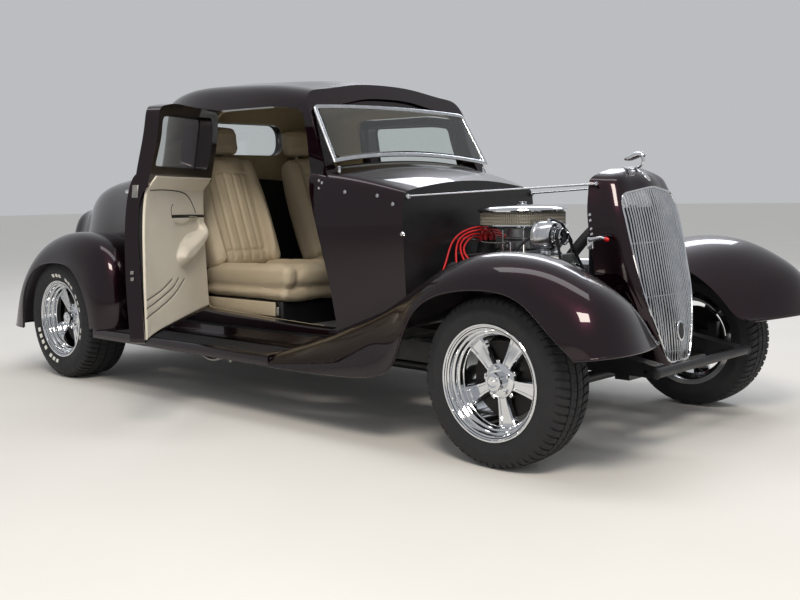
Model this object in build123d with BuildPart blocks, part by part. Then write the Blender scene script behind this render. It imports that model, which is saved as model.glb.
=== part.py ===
from build123d import *
import math
import os

os.makedirs("parts", exist_ok=True)

# Hot rod coupe with an open engine, in millimetres.
# The origin is on the floor, under the middle of the wheelbase, on the centre plane.
# +X is forward, +Y is the car's left and +Z is up.

# Stance
wheelbase = 2920
front_axle_x = wheelbase / 2
rear_axle_x = -wheelbase / 2
seat_gap = 0.3
panel_gap = 5

# Wheels
front_track_half = 698
rear_track_half = 717
front_tyre_radius = 304
rear_tyre_radius = 320
front_tyre_width = 205
rear_tyre_width = 255
front_rim_half = 97
rear_rim_half = 116
flange_radius = 207
bead_radius = 190
well_radius = 168
rim_wall = 6
dish_depth = 78
spoke_count = 5
spoke_start = 62
spoke_root_half = 22
spoke_tip_half = 37
spoke_thickness = 24
hub_radius = 64
cap_radius = 33
cap_height = 34

# Steering
kingpin_y = 640
steer_arm_length = 125
tie_rod_radius = 7

# Body shell
wall = 60
lining = 8
firewall_x = 740
firewall_wall = 40
belt_z = 1030
floor_z = 356
floor_plate = 12
cowl_split_x = 447
tail_split_x = -960
screen_top_x = 246
screen_top_z = 1356
screen_slope = 24
screen_open = 6.4

screen_standoff = 8
screen_height = 305
screen_top_half = 504
screen_low_half = 519
screen_bow = 42
screen_corner = 26
screen_bar = 22
screen_depth = 12
screen_pin_radius = 5
screen_pin_length = 30
screen_pin_y = 440
lining_front = ((300, 900), (150, 1600), (900, 1600), (900, 900))

# Rear window and deck lid
rear_window_half = 262
rear_window_height = 170
rear_window_corner = 55
rear_window_z = 1268
lid_outline = (
    (-1010, 335),
    (-1060, 366),
    (-1150, 370),
    (-1400, 345),
    (-1800, 272),
    (-2140, 190),
)
lid_rear_x = -2080
lid_rear_z = 905
lid_lean = 18

# Doors
hinge_x = -480
hinge_y = 664
hinge_radius = 9
hinge_height = 26
hinge_strap = 24
hinge_strap_inner_y = 628
door_open = 57
hinge_heights = (520, 800, 1010)
glass_thickness = 6
glass_inset = 26
pane_y = 545
pane_height = 1200
pane_lean = 9.4
pane_toe = 4.4

# Deck lid hinges
lid_hinge_x = -1007
lid_hinge_z = 1131
lid_hinge_y = 210
lid_eye = 28
lid_strap = 36

# Frame rails. Columns: x; height of the bottom and of the top; half-width outside.
rail_width = 64
rail_table = (
    (-2060, 435, 520, 260),
    (-1700, 430, 530, 360),
    (-1250, 430, 530, 396),
    (-900, 258, 344, 398),
    (900, 258, 344, 398),
    (1200, 292, 384, 380),
    (1600, 300, 380, 335),
    (1840, 296, 340, 330),
)
spreader_x = 1852
spreader_radius = 17
spreader_z = 318
spreader_half = 345
bracket_radius = 11
bracket_inner = 380
bracket_outer = 800
bracket_z = 277
bracket_stations = (-700, -250, 200)
tow_x = 1800
tow_z = 318
tow_hole_radius = 8
hitch_x = -2040
hitch_pitch = 90
hitch_hole_radius = 7

# Cross members. Columns: x, z, size along, size up, half-width.
member_table = (
    (1680, 284.7, 60, 30, 290),
    (1460, 342, 90, 66, 300),
    (420, 265.5, 60, 30, 350),
    (-300, 285, 60, 50, 350),
    (-1240, 472, 60, 50, 350),
    (-1700, 482, 60, 60, 320),
    (-2030, 478, 60, 60, 240),
)

# Bulkhead, dashboard and floor
bulkhead_x = -880
bulkhead_plate = 10
dash_rear_x = 350
dash_front_x = 430
dash_low = 850
dash_high = 985
tunnel_wall = 8
tunnel_table = (
    (700, 168),
    (250, 108),
    (-1010, 80),
)
floor_plan = (
    (700, 395),
    (380, 540),
    (0, 588),
    (-325, 600),
    (-850, 572),
    (-851, 500),
    (-1300, 440),
    (-1700, 360),
    (-2000, 290),
    (-2060, 230),
)

# Engine
crank_z = 370
engine_rear_x = 790
engine_front_x = 1290
bank_angle = 45
bell_arch = 155

# Lower body sections from tail to firewall.
# Columns: x; half-widths at floor, side, belt, crown edge; heights of floor, side, belt, crown edge, top.
body_table = (
    (-2215, 210, 225, 200, 110, 520, 590, 650, 715, 760),
    (-2150, 300, 335, 300, 180, 480, 590, 680, 800, 850),
    (-2000, 370, 430, 390, 250, 440, 620, 760, 905, 960),
    (-1700, 440, 505, 480, 330, 430, 640, 860, 1000, 1045),
    (-1300, 520, 566, 555, 430, 420, 660, 960, 1062, 1100),
    (-850, 585, 635, 622, 530, 356, 680, 1025, 1090, 1122),
    (-325, 612, 648, 636, 555, 356, 690, 1030, 1088, 1116),
    (0, 600, 630, 618, 535, 356, 690, 1022, 1080, 1112),
    (380, 555, 575, 560, 470, 356, 690, 1000, 1066, 1100),
    (740, 425, 445, 440, 395, 400, 690, 940, 975, 1011),
)

# Cabin top sections from the back panel to the windscreen.
# Columns: x; half-widths at belt, drip rail, crown edge; heights of drip rail, crown edge, top.
cabin_table = (
    (-935, 500, 395, 300, 1330, 1395, 1415),
    (-905, 545, 455, 350, 1360, 1440, 1465),
    (-840, 585, 500, 385, 1385, 1475, 1508),
    (-700, 606, 528, 410, 1398, 1492, 1532),
    (-325, 618, 545, 425, 1400, 1486, 1524),
    (0, 604, 535, 418, 1388, 1462, 1500),
    (250, 572, 515, 405, 1366, 1420, 1456),
    (460, 536, 495, 392, 1340, 1375, 1405),
)

# Door outline seen from the side: x and height, clockwise from the sill at the hinge.
door_outline = (
    (hinge_x + 4, 425),
    (hinge_x + 4, 1332),
    (hinge_x + 44, 1364),
    (58, 1356),
    (224, 1330),
    (269, 1153),
    (359, 811),
    (405, 600),
    (432, 380),
)
window_outline = (
    (hinge_x + 60, 1085),
    (hinge_x + 60, 1322),
    (50, 1308),
    (178, 1286),
    (232, 1085),
)

trim_outline = (
    (hinge_x + 30, 445),
    (hinge_x + 30, 1046),
    (272, 1046),
    (332, 811),
    (378, 600),
    (402, 400),
)

# Front fender stations: crown x, z; lip x, z; half-widths at lip, crown, inner edge; inner depth.
front_fender_table = (
    (334, 306, 334, 252, 852, 720, 606, -37),
    (486, 352, 496, 254, 854, 721, 528, -12),
    (638, 399, 660, 258, 856, 722, 450, 12),
    (753, 443, 800, 264, 858, 722, 426, 37),
    (868, 489, 925, 276, 860, 722, 405, 60),
    (955, 532, 1022, 304, 860, 722, 391, 80),
    (1050, 585, 1084, 372, 861, 722, 376, 96),
    (1160, 648, 1134, 484, 862, 722, 360, 105),
    (1330, 724, 1262, 596, 862, 720, 345, 105),
    (1500, 750, 1470, 633, 862, 720, 340, 98),
    (1660, 728, 1640, 606, 862, 718, 340, 130),
    (1810, 665, 1760, 512, 862, 712, 340, 170),
    (1925, 570, 1830, 455, 860, 700, 345, 165),
    (1972, 445, 1850, 430, 850, 690, 370, 100),
)

# Rear fender stations with the same columns.
rear_fender_table = (
    (-940, 300, -1086, 300, 866, 745, 606, 12),
    (-948, 530, -1098, 400, 870, 748, 575, 20),
    (-1030, 700, -1157, 521, 872, 750, 570, 25),
    (-1180, 768, -1252, 604, 874, 750, 545, 30),
    (-1390, 778, -1410, 628, 874, 750, 510, 30),
    (-1590, 728, -1580, 606, 874, 748, 475, 30),
    (-1780, 600, -1718, 520, 872, 745, 445, 35),
    (-1935, 430, -1796, 400, 868, 740, 400, 40),
    (-2050, 250, -1826, 250, 862, 735, 380, 50),
)
fender_wall = 10

# Running board
board_rear_x = -1084
board_step_x = -934
board_front_x = front_fender_table[0][0] - seat_gap
board_outer = 852
board_inner = 606
board_rise = 343.7
board_top = 299.5
board_bottom = 252
board_wall = 11

# Radiator shell stations: height; back x, back half-width; front x, front half-width; nose x.
shell_table = (
    (300, 1600, 120, 1738, 92, 1760),
    (400, 1580, 165, 1728, 132, 1752),
    (560, 1545, 228, 1697, 190, 1726),
    (740, 1517, 243, 1657, 206, 1690),
    (900, 1498, 243, 1618, 204, 1652),
    (975, 1492, 226, 1592, 180, 1626),
    (1020, 1494, 170, 1566, 130, 1590),
    (1038, 1500, 90, 1546, 66, 1560),
)
shell_wall = 14
shell_run_out = 80
grille_bars = 27
bar_thickness = 6

# Seats
seat_inner = 92
seat_outer = 545
seat_rear_x = -590
seat_front_x = 100
cushion_top = 600
cushion_bottom = 475
back_top = 1165

# Cabin fittings
wheel_centre = (70, 330, 925)
column_angle = 28
wheel_ring_radius = 178
grip_radius = 13

# Grille outline: height and half-width, and its bars
grille_outline = (
    (312, 78),
    (400, 116),
    (560, 174),
    (740, 189),
    (880, 188),
    (925, 160),
)
bar_depth = 7
cross_bar_heights = (350, 620, 880)
cross_bar_height = 14
cross_bar_depth = 10
cross_bar_bite = 3
core_outline = ((1600, 380), (1650, 380), (1572, 890), (1522, 890))
stay_rear = (740.3, 425, 948)
stay_front = (1560, 222, 985)
stay_radius = 5
ornament_x = 1530
ornament_z = 1082
ornament_nose = 62
ornament_tail = 60
ornament_radius = 15
ornament_tip = 3
ornament_foot = 9

# Engine details. The block outline gives y and z of one half.
block_outline = ((160, 330), (170, 400), (120, 468), (33, 510))
arm_x = 1015
arm_length = 48
arm_height = 40
arm_reach = 321
sump_low = 240
sump_half = 110
bank_low = 60
bank_half = 75
deck_height = 250
head_height = 68
head_length = 470
head_half = 78
cover_height = 66
cover_length = 450
cover_half = 54
gearbox_outline = ((790, 150), (700, 116), (300, 72), (240, 45))
intake_rear_x = 878
intake_front_x = 1240
intake_outline = ((0, 511), (30, 511), (150, 631), (138, 650), (62, 668), (62, 702))
carb_x = 1015
carb_length = 130
carb_width = 110
carb_top = 770
throat_radius = 64
cleaner_low = 805
cleaner_high = 905
cleaner_radius = 192
distributor_x = 824
distributor_low = 510.3
distributor_radius = 30
cap_low = 690
cap_high = 765
cap_base = 50
cap_crown = 38

# Front drive drums. Columns: rear x, y, z, radius, length.
drum_table = (
    (1290.3, 0, 370, 76, 44),
    (1290.3, 0, 560, 52, 30),
    (1320, 0, 560, 66, 24),
    (1344, 0, 560, 30, 24),
    (1200, -150, 780, 60, 104),
    (1304, -150, 780, 34, 30),
)
# Brackets of the front drive. Columns: x, y, z, size along, across, up.
drive_block_table = (
    (1302, 0, 470, 22, 90, 180),
    (1302, -75, 690, 22, 120, 60),
    (1302, -30, 630, 22, 60, 100),
    (1302, -130, 735, 22, 50, 60),
)
fan_x = 1366
fan_z = 560
fan_radius = 190
fan_blades = 6
fan_blade_width = 58
fan_depth = 14

# Exhaust
port_stations = (850, 960, 1070, 1180)
header_reach = 38
header_radius = 16
pipe_z = 218
collector_radius = 30
collector_reach = 120
pipe_radius = 24
pipe_end_x = -1960
silencer_front_x = -150
silencer_rear_x = -680
silencer_radius = 38

# Axles
stub_radius = 18
axle_radius = 38
rear_stub_y = 724
rear_plate_y = 664
plate_thickness = 6
drum_radius = 138
drum_depth = 60
drum_wall = 10
drum_web = 12
drum_boss = 36
differential_radius = 125
shaft_front = (238.8, 0, 370)
shaft_radius = 32
damper_y = 347
damper_radius = 28
axle_radius_front = 22
drop_outer_y = 590
drop_inner_y = 470
beam_z = 238
boss_radius = 20
boss_height = 70
hanger_y = 240
hanger_radius = 24
hanger_top = 308.7
kingpin_radius = 10
ear_thickness = 12
ear_radius = 20
web_y = 29
web_thickness = 12
front_stub_y = 688
arm_width = 16
arm_pin_radius = 6
arm_pin_length = 16
eye_height = 16
eye_radius = 14
caliper_x = 96
disc_radius = 136
disc_thickness = 11

# Wheels. Columns: end, axle x, track half, tyre radius, tyre width, rim half-width.
wheel_table = (
    ("front", front_axle_x, front_track_half, front_tyre_radius, front_tyre_width, front_rim_half),
    ("rear", rear_axle_x, rear_track_half, rear_tyre_radius, rear_tyre_width, rear_rim_half),
)

# Seats and cabin fittings
base_outline = (
    (-520, floor_z + seat_gap),
    (30, floor_z + seat_gap),
    (50, cushion_bottom - seat_gap),
    (-540, cushion_bottom - seat_gap),
)
back_outline = (
    (-590, cushion_top + seat_gap),
    (-440, cushion_top + seat_gap),
    (-650, back_top),
    (-790, back_top),
)
seat_front_view = ((96, 500), (541, 500), (541, 880), (480, back_top + 1), (480, 1400), (96, 1400))
headrest_outline = ((-785, 1150), (-665, 1150), (-700, 1320), (-800, 1320))
headrest_y = 300
headrest_half = 120
cushion_corner = 60
cushion_round = 35
column_gap = 22
column_length = 740
column_radius = 22
column_drop_x = 392
wheel_hub_radius = 34
wheel_spoke_radius = 7
wheel_spoke_angles = (100, 180, 260)

# Tank and lamps
tank_x = -1864
tank_length = 300
tank_half = 190
tank_height = 120
lamp_y = 130
lamp_z = 610
lamp_depth = 26
lamp_radius = 42



def finish(part, name):
    """Label one finished piece and write its file."""
    part.label = name
    export_step(part, f"parts/{name}.step")


def across(x):
    """Section plane across the car: local x is the car's left, local y is up."""
    return Plane(origin=(x, 0, 0), x_dir=(0, 1, 0), z_dir=(1, 0, 0))


def round_mid(start, end):
    """Middle point of a quarter turn that leaves start upwards and meets end level."""
    share = math.sin(math.radians(45))
    return (end[0] + (start[0] - end[0]) * share, start[1] + (end[1] - start[1]) * share)


def body_section(row, inset):
    """Closed lower-body section: floor line, barrel sides, shoulders and a crown."""
    x, floor_w, side_w, belt_w, crown_w, low, side_h, belt_h, crown_h, top = row
    floor_pt = (floor_w - inset, low if inset == 0 else low - 40)
    side_pt = (side_w - inset, side_h)
    belt_pt = (belt_w - inset, belt_h - inset * 0.4)
    crown_pt = (crown_w - inset, crown_h - inset)
    top_pt = (0, top - inset)
    turn = round_mid(belt_pt, crown_pt)
    with BuildSketch(across(x)) as section:
        with BuildLine():
            Line((-floor_pt[0], floor_pt[1]), floor_pt)
            ThreePointArc(floor_pt, side_pt, belt_pt)
            ThreePointArc(belt_pt, turn, crown_pt)
            ThreePointArc(crown_pt, top_pt, (-crown_pt[0], crown_pt[1]))
            ThreePointArc((-crown_pt[0], crown_pt[1]), (-turn[0], turn[1]), (-belt_pt[0], belt_pt[1]))
            ThreePointArc((-belt_pt[0], belt_pt[1]), (-side_pt[0], side_pt[1]), (-floor_pt[0], floor_pt[1]))
        make_face()
    return section.sketch


def cabin_section(row, inset):
    """Closed cabin-top section: leaning sides, rounded drip rails and a crowned roof."""
    x, belt_w, drip_w, crown_w, drip_h, crown_h, top = row
    base = belt_z - 60
    belt_pt = (belt_w - inset, base)
    drip_pt = (drip_w - inset, drip_h - inset * 0.4)
    crown_pt = (crown_w - inset, crown_h - inset)
    top_pt = (0, top - inset)
    turn = round_mid(drip_pt, crown_pt)
    with BuildSketch(across(x)) as section:
        with BuildLine():
            Line((-belt_pt[0], belt_pt[1]), belt_pt)
            Line(belt_pt, drip_pt)
            ThreePointArc(drip_pt, turn, crown_pt)
            ThreePointArc(crown_pt, top_pt, (-crown_pt[0], crown_pt[1]))
            ThreePointArc((-crown_pt[0], crown_pt[1]), (-turn[0], turn[1]), (-drip_pt[0], drip_pt[1]))
            Line((-drip_pt[0], drip_pt[1]), (-belt_pt[0], belt_pt[1]))
        make_face()
    return section.sketch


def side_prism(outline, near, far, side, grow=0):
    """Solid with a side-view outline, between two distances from the centre plane."""
    with BuildPart() as prism:
        with BuildSketch(Plane(origin=(0, side * near, 0), x_dir=(1, 0, 0), z_dir=(0, side, 0))):
            with BuildLine():
                Polyline([(x, -side * z) for x, z in outline], close=True)
            make_face()
            if grow != 0:
                offset(amount=grow, kind=Kind.INTERSECTION)
        extrude(amount=far - near)
    return prism.part


def plan_prism(outline, low, high, grow=0):
    """Solid with a plan-view outline, mirrored about the centre plane, between two heights."""
    with BuildPart() as prism:
        with BuildSketch(Plane.XY.offset(low)):
            with BuildLine():
                Polyline(list(outline) + [(x, -y) for x, y in reversed(outline)], close=True)
            make_face()
            if grow != 0:
                offset(amount=grow, kind=Kind.INTERSECTION)
        extrude(amount=high - low)
    return prism.part


def length_prism(outline, x_low, x_high, side):
    """Solid along the car with a front-view outline of y and z on one side."""
    with BuildPart() as prism:
        with BuildSketch(across(x_low)):
            with BuildLine():
                Polyline([(side * y, z) for y, z in outline], close=True)
            make_face()
        extrude(amount=x_high - x_low)
    return prism.part


def rod(start, end, radius):
    """Round bar between two points."""
    run = Vector(*end) - Vector(*start)
    with BuildPart() as bar:
        with BuildSketch(Plane(origin=start, z_dir=run)):
            Circle(radius)
        extrude(amount=run.length)
    return bar.part


def pair_rod(start, end, radius, side):
    """Round bar between two points given for the car's left, put on either side."""
    return rod((start[0], side * start[1], start[2]), (end[0], side * end[1], end[2]), radius)


def slab(x_low, x_high, z_low=-100, z_high=2000):
    """Block right across the car between two stations."""
    with BuildPart() as block:
        with Locations(((x_low + x_high) / 2, 0, (z_low + z_high) / 2)):
            Box(x_high - x_low, 2400, z_high - z_low)
    return block.part


def hinge_eye(side, height, direction):
    """One hinge eye with its strap: direction 1 is the door's, above; -1 is the pillar's, below."""
    middle = height + direction * (hinge_height / 2 + seat_gap / 2)
    depth = hinge_y - hinge_strap_inner_y
    with BuildPart() as eye:
        with Locations((hinge_x, side * hinge_y, middle)):
            Cylinder(hinge_radius, hinge_height)
        with Locations((hinge_x + direction * (6 + hinge_strap / 2), side * (hinge_y - depth / 2), middle)):
            Box(hinge_strap, depth, hinge_height)
    return eye.part


def lid_hinge_eye(side, direction):
    """One deck lid hinge eye: direction 1 is the lid's, outer; -1 is the tail's, inner."""
    middle_y = side * (lid_hinge_y + direction * (lid_eye / 2 + seat_gap / 2))
    strap_x = lid_hinge_x - direction * (6 + hinge_strap / 2)
    with BuildPart() as eye:
        with Locations(Location((lid_hinge_x, middle_y, lid_hinge_z), (90, 0, 0))):
            Cylinder(hinge_radius, lid_eye)
        with Locations((strap_x, middle_y, lid_hinge_z - lid_strap / 2)):
            Box(hinge_strap, lid_eye, lid_strap)
    return eye.part


# Full shell: the lower body and the cabin top, hollowed by the same sections set in by the wall
screen_tan = math.tan(math.radians(screen_slope))
front_cut = (
    (screen_top_x + (screen_top_z - 900) * screen_tan, 900),
    (screen_top_x - (1600 - screen_top_z) * screen_tan, 1600),
    (900, 1600),
    (900, 900),
)
front_block = side_prism(front_cut, -700, 700, 1)


def inner_rows(table, rear_wall, last):
    """Sections of the space inside: the rear ones closer in, and the last at the firewall."""
    rows = [(table[0][0] + rear_wall,) + tuple(table[1][1:])]
    rows += [row for row in table[2:-1]]
    rows.append((last,) + tuple(table[-1][1:]))
    return rows


def hollow(inset):
    """The space inside the whole body, set in from the outer sections."""
    body_rows = inner_rows(body_table, wall + 40, firewall_x - firewall_wall)
    cabin_rows = [(cabin_table[0][0] + inset,) + tuple(cabin_table[1][1:])] + list(cabin_table[2:])
    with BuildPart() as cabin_space:
        loft(sections=[cabin_section(row, inset) for row in cabin_rows])
        add(front_block, mode=Mode.SUBTRACT)
    with BuildPart() as space:
        loft(sections=[body_section(row, inset) for row in body_rows])
        add(cabin_space.part)
    return space.part


with BuildPart() as cabin_outer:
    loft(sections=[cabin_section(row, 0) for row in cabin_table])
    add(front_block, mode=Mode.SUBTRACT)

with BuildPart() as body_outer:
    loft(sections=[body_section(row, 0) for row in body_table])
    add(cabin_outer.part)
    add(slab(-3000, 900, 0, floor_z), mode=Mode.SUBTRACT)

space = hollow(wall)
lined_space = hollow(wall + lining)

with BuildPart() as closed_shell:
    add(body_outer.part)
    add(space, mode=Mode.SUBTRACT)

with BuildPart() as skin:
    add(space)
    add(lined_space, mode=Mode.SUBTRACT)

with BuildPart() as rear_window:
    with BuildSketch(across(-1100)):
        with Locations((0, rear_window_z)):
            RectangleRounded(2 * rear_window_half, rear_window_height, rear_window_corner)
    extrude(amount=400)

# Body shell: what is left between the outer form and the space, with its doors and windows cut
with BuildPart() as shell:
    add(closed_shell.part)
    for side in (1, -1):
        add(side_prism(door_outline, 300, 800, side), mode=Mode.SUBTRACT)
    add(rear_window.part, mode=Mode.SUBTRACT)

lid_tan = math.tan(math.radians(lid_lean))
lid_side = (
    (-900, 640),
    (-900, 1300),
    (lid_rear_x - (1300 - lid_rear_z) * lid_tan, 1300),
    (lid_rear_x + (lid_rear_z - 640) * lid_tan, 640),
)
with BuildPart() as lid_block:
    add(plan_prism(lid_outline, 640, 1300))
    add(side_prism(lid_side, -600, 600, 1), mode=Mode.INTERSECT)
with BuildPart() as lid_opening:
    add(plan_prism(lid_outline, 640, 1300, grow=panel_gap))
    add(side_prism(lid_side, -600, 600, 1, grow=panel_gap), mode=Mode.INTERSECT)

with BuildPart() as cowl:
    add(shell.part)
    add(slab(cowl_split_x, 900), mode=Mode.INTERSECT)
    add(rod((cowl_split_x, 0, crank_z), (firewall_x + 20, 0, crank_z), bell_arch), mode=Mode.SUBTRACT)
finish(cowl.part, "cowl")

with BuildPart() as cab:
    add(shell.part)
    add(slab(tail_split_x, cowl_split_x), mode=Mode.INTERSECT)
    for side in (1, -1):
        for height in hinge_heights:
            add(hinge_eye(side, height, -1))
finish(cab.part, "cab")

with BuildPart() as tail:
    add(shell.part)
    add(slab(-3000, tail_split_x), mode=Mode.INTERSECT)
    add(lid_opening.part, mode=Mode.SUBTRACT)
    for side in (1, -1):
        add(lid_hinge_eye(side, -1))
finish(tail.part, "tail")

with BuildPart() as deck_lid:
    add(shell.part)
    add(slab(-3000, tail_split_x), mode=Mode.INTERSECT)
    add(lid_block.part, mode=Mode.INTERSECT)
    for side in (1, -1):
        add(lid_hinge_eye(side, 1))
finish(deck_lid.part, "deck_lid")


# Cabin lining: a thin skin inside the shell, from the belt up and round the back
with BuildPart() as cabin_lining:
    add(skin.part)
    add(slab(bulkhead_x + seat_gap, 330, floor_z + 30, 1600), mode=Mode.INTERSECT)
    add(side_prism(lining_front, -700, 700, 1), mode=Mode.SUBTRACT)
    for side in (1, -1):
        add(side_prism(door_outline, 300, 800, side), mode=Mode.SUBTRACT)
    add(rear_window.part, mode=Mode.SUBTRACT)
finish(cabin_lining.part, "cabin_lining")

# Rear glass: a flat pane held in the back panel's opening
with BuildPart() as rear_glass:
    with BuildSketch(across(cabin_table[0][0] + glass_inset)):
        with Locations((0, rear_window_z)):
            RectangleRounded(
                2 * (rear_window_half - seat_gap),
                rear_window_height - 2 * seat_gap,
                rear_window_corner - seat_gap,
            )
    extrude(amount=glass_thickness)
finish(rear_glass.part, "rear_glass")


def pane_plane(side):
    """Plane of a door's glass, leaning in at the top and towards the front."""
    lean = math.radians(pane_lean)
    toe = math.radians(pane_toe)
    run = Vector(math.cos(toe), -side * math.sin(toe), 0)
    rise = Vector(0, -side * math.sin(lean), math.cos(lean))
    return Plane(origin=(0, side * pane_y, pane_height), x_dir=run, z_dir=run.cross(rise) * -side)


# Doors: cut from the shell with a gap all round, each with a trim panel and a pane
for word, side, swing in (("left", 1, 0), ("right", -1, door_open)):
    hinge_axis = Axis((hinge_x, side * hinge_y, 0), (0, 0, side))
    with BuildPart() as door:
        add(closed_shell.part)
        add(side_prism(door_outline, 300, 800, side, grow=-panel_gap), mode=Mode.INTERSECT)
        add(side_prism(window_outline, 300, 800, side), mode=Mode.SUBTRACT)
        for height in hinge_heights:
            add(hinge_eye(side, height, 1))
    finish(door.part.rotate(hinge_axis, swing), f"door_{word}")
    with BuildPart() as trim:
        add(skin.part)
        add(side_prism(trim_outline, 300, 800, side), mode=Mode.INTERSECT)
    finish(trim.part.rotate(hinge_axis, swing), f"door_trim_{word}")
    with BuildPart() as pane:
        with BuildSketch(pane_plane(side)):
            Rectangle(1000, 600)
        extrude(amount=glass_thickness)
        add(side_prism(window_outline, 300, 800, side, grow=-seat_gap), mode=Mode.INTERSECT)
    finish(pane.part.rotate(hinge_axis, swing), f"door_glass_{word}")

# Windscreen: a bright frame hinged along its top edge, standing a little open at the bottom
lean = math.radians(screen_slope + screen_open)
screen_plane = Plane(
    origin=(screen_top_x + screen_standoff, 0, screen_top_z),
    x_dir=(0, 1, 0),
    z_dir=(math.cos(lean), 0, math.sin(lean)),
)


def screen_outline(inset):
    """Windscreen outline on its own plane, with a crowned top and a raised middle at the bottom."""
    low = -screen_height + inset
    high = -inset
    with BuildSketch(screen_plane) as outline:
        with BuildLine():
            ThreePointArc(
                (-screen_top_half + inset, high - 6),
                (0, high + 12),
                (screen_top_half - inset, high - 6),
            )
            Line((screen_top_half - inset, high - 6), (screen_low_half - inset, low))
            ThreePointArc(
                (screen_low_half - inset, low),
                (0, low + screen_bow),
                (-screen_low_half + inset, low),
            )
            Line((-screen_low_half + inset, low), (-screen_top_half + inset, high - 6))
        make_face()
        fillet(outline.vertices(), radius=screen_corner)
    return outline.sketch


with BuildPart() as windshield_frame:
    add(screen_outline(0))
    extrude(amount=screen_depth)
    add(screen_outline(screen_bar))
    extrude(amount=screen_depth, mode=Mode.SUBTRACT)
    for side in (1, -1):
        pin_place = (screen_plane.origin.X, side * screen_pin_y, screen_plane.origin.Z)
        with Locations(Location(pin_place, (90, 0, 0))):
            Cylinder(screen_pin_radius, screen_pin_length)
finish(windshield_frame.part, "windshield_frame")

with BuildPart() as windshield_glass:
    add(screen_outline(screen_bar + seat_gap))
    extrude(amount=glass_thickness)
finish(windshield_glass.part, "windshield_glass")

def arch_section(row, inset):
    """Half-round section of the floor's tunnel, standing on the rails' top."""
    x, radius = row
    with BuildSketch(across(x)) as half_round:
        with Locations((0, rail_table[3][2])):
            Circle(radius - inset)
            Rectangle(3 * radius, radius, align=(Align.CENTER, Align.MAX), mode=Mode.SUBTRACT)
    return half_round.sketch


with BuildPart() as tunnel:
    loft(sections=[arch_section(row, 0) for row in tunnel_table], ruled=True)

# Bulkhead behind the seats, notched over the tunnel
with BuildPart() as bulkhead:
    add(space)
    add(slab(bulkhead_x - bulkhead_plate, bulkhead_x, floor_z, 1300), mode=Mode.INTERSECT)
    add(tunnel.part, mode=Mode.SUBTRACT)
finish(bulkhead.part, "bulkhead")

# Dashboard, shaped by the cowl around it
with BuildPart() as dashboard:
    add(space)
    add(slab(dash_rear_x, dash_front_x, dash_low, dash_high), mode=Mode.INTERSECT)
finish(dashboard.part, "dashboard")

# Frame: two rails with a kick over the rear axle, cross members, a front spreader bar and board brackets
rail_side = [(x, low) for x, low, high, outer in rail_table]
rail_side += [(x, high) for x, low, high, outer in reversed(rail_table)]
rail_plan = [(x, outer) for x, low, high, outer in rail_table]
rail_plan += [(x, outer - rail_width) for x, low, high, outer in reversed(rail_table)]
with BuildPart() as rails:
    with BuildSketch(Plane.XY):
        for side in (1, -1):
            with BuildLine():
                Polyline([(x, side * y) for x, y in rail_plan], close=True)
            make_face()
    extrude(amount=700)
    add(side_prism(rail_side, -500, 500, 1), mode=Mode.INTERSECT)

with BuildPart() as frame:
    add(rails.part)
    for x, z, width, height, half in member_table:
        with Locations((x, 0, z)):
            Box(width, 2 * half, height)
    horn_x = rail_table[-1][0]
    with Locations(Location((spreader_x, 0, spreader_z), (90, 0, 0))):
        Cylinder(spreader_radius, 2 * spreader_half)
    for side in (1, -1):
        horn_y = side * (rail_table[-1][3] - rail_width / 2)
        with Locations((horn_x, horn_y, spreader_z)):
            Box(2 * (spreader_x - horn_x), rail_width, 2 * spreader_radius)
        for x in bracket_stations:
            with Locations(Location((x, side * (bracket_inner + bracket_outer) / 2, bracket_z), (90, 0, 0))):
                Cylinder(bracket_radius, bracket_outer - bracket_inner)
    add(rod((tow_x, -500, tow_z), (tow_x, 500, tow_z), tow_hole_radius), mode=Mode.SUBTRACT)
    for side in (1, -1):
        hitch_y = side * hitch_pitch / 2
        add(rod((hitch_x, hitch_y, 300), (hitch_x, hitch_y, 600), hitch_hole_radius), mode=Mode.SUBTRACT)
finish(frame.part, "frame")

# Floor pan: a folded plate on the rails, with a low tunnel over the gearbox and the drive shaft
floor_line = [(firewall_x - firewall_wall, rail_table[4][2])]
floor_line += [(row[0], row[2]) for row in reversed(rail_table[:4])]
floor_profile = floor_line + [(x, z + floor_plate) for x, z in reversed(floor_line)]
with BuildPart() as floor_pan:
    add(side_prism(floor_profile, -700, 700, 1))
    add(plan_prism(floor_plan, 0, 700), mode=Mode.INTERSECT)
    add(tunnel.part)
    loft(sections=[arch_section(row, tunnel_wall) for row in tunnel_table], ruled=True, mode=Mode.SUBTRACT)
finish(floor_pan.part, "floor_pan")


def fender_section(row):
    """Closed section of the left fender: an outer arc from lip to crown and an inner arc to the body."""
    crown_x, crown_z, lip_x, lip_z, lip_y, crown_y, inner_y, inner_drop = row
    down = Vector(lip_x - crown_x, 0, lip_z - crown_z)
    drop = down.length
    plane = Plane(
        origin=(crown_x, crown_y, crown_z),
        x_dir=(0, 1, 0),
        z_dir=Vector(0, 1, 0).cross(down * -1),
    )
    reach = lip_y - crown_y
    back = crown_y - inner_y
    share = math.sin(math.radians(45))
    turn = fender_wall
    with BuildSketch(plane) as section:
        with BuildLine():
            ThreePointArc((reach, -drop), (reach * share, -drop * (1 - share)), (0, 0))
            ThreePointArc((0, 0), (-back * 0.5, -inner_drop * 0.3), (-back, -inner_drop))
            Line((-back, -inner_drop), (-back, -inner_drop - turn))
            ThreePointArc((-back, -inner_drop - turn), (-back * 0.5, -inner_drop * 0.3 - turn), (0, -turn))
            ThreePointArc(
                (0, -turn),
                ((reach - turn) * share, -turn - (drop - turn) * (1 - share)),
                (reach - turn, -drop),
            )
            Line((reach - turn, -drop), (reach, -drop))
        make_face()
    return section.sketch


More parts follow.
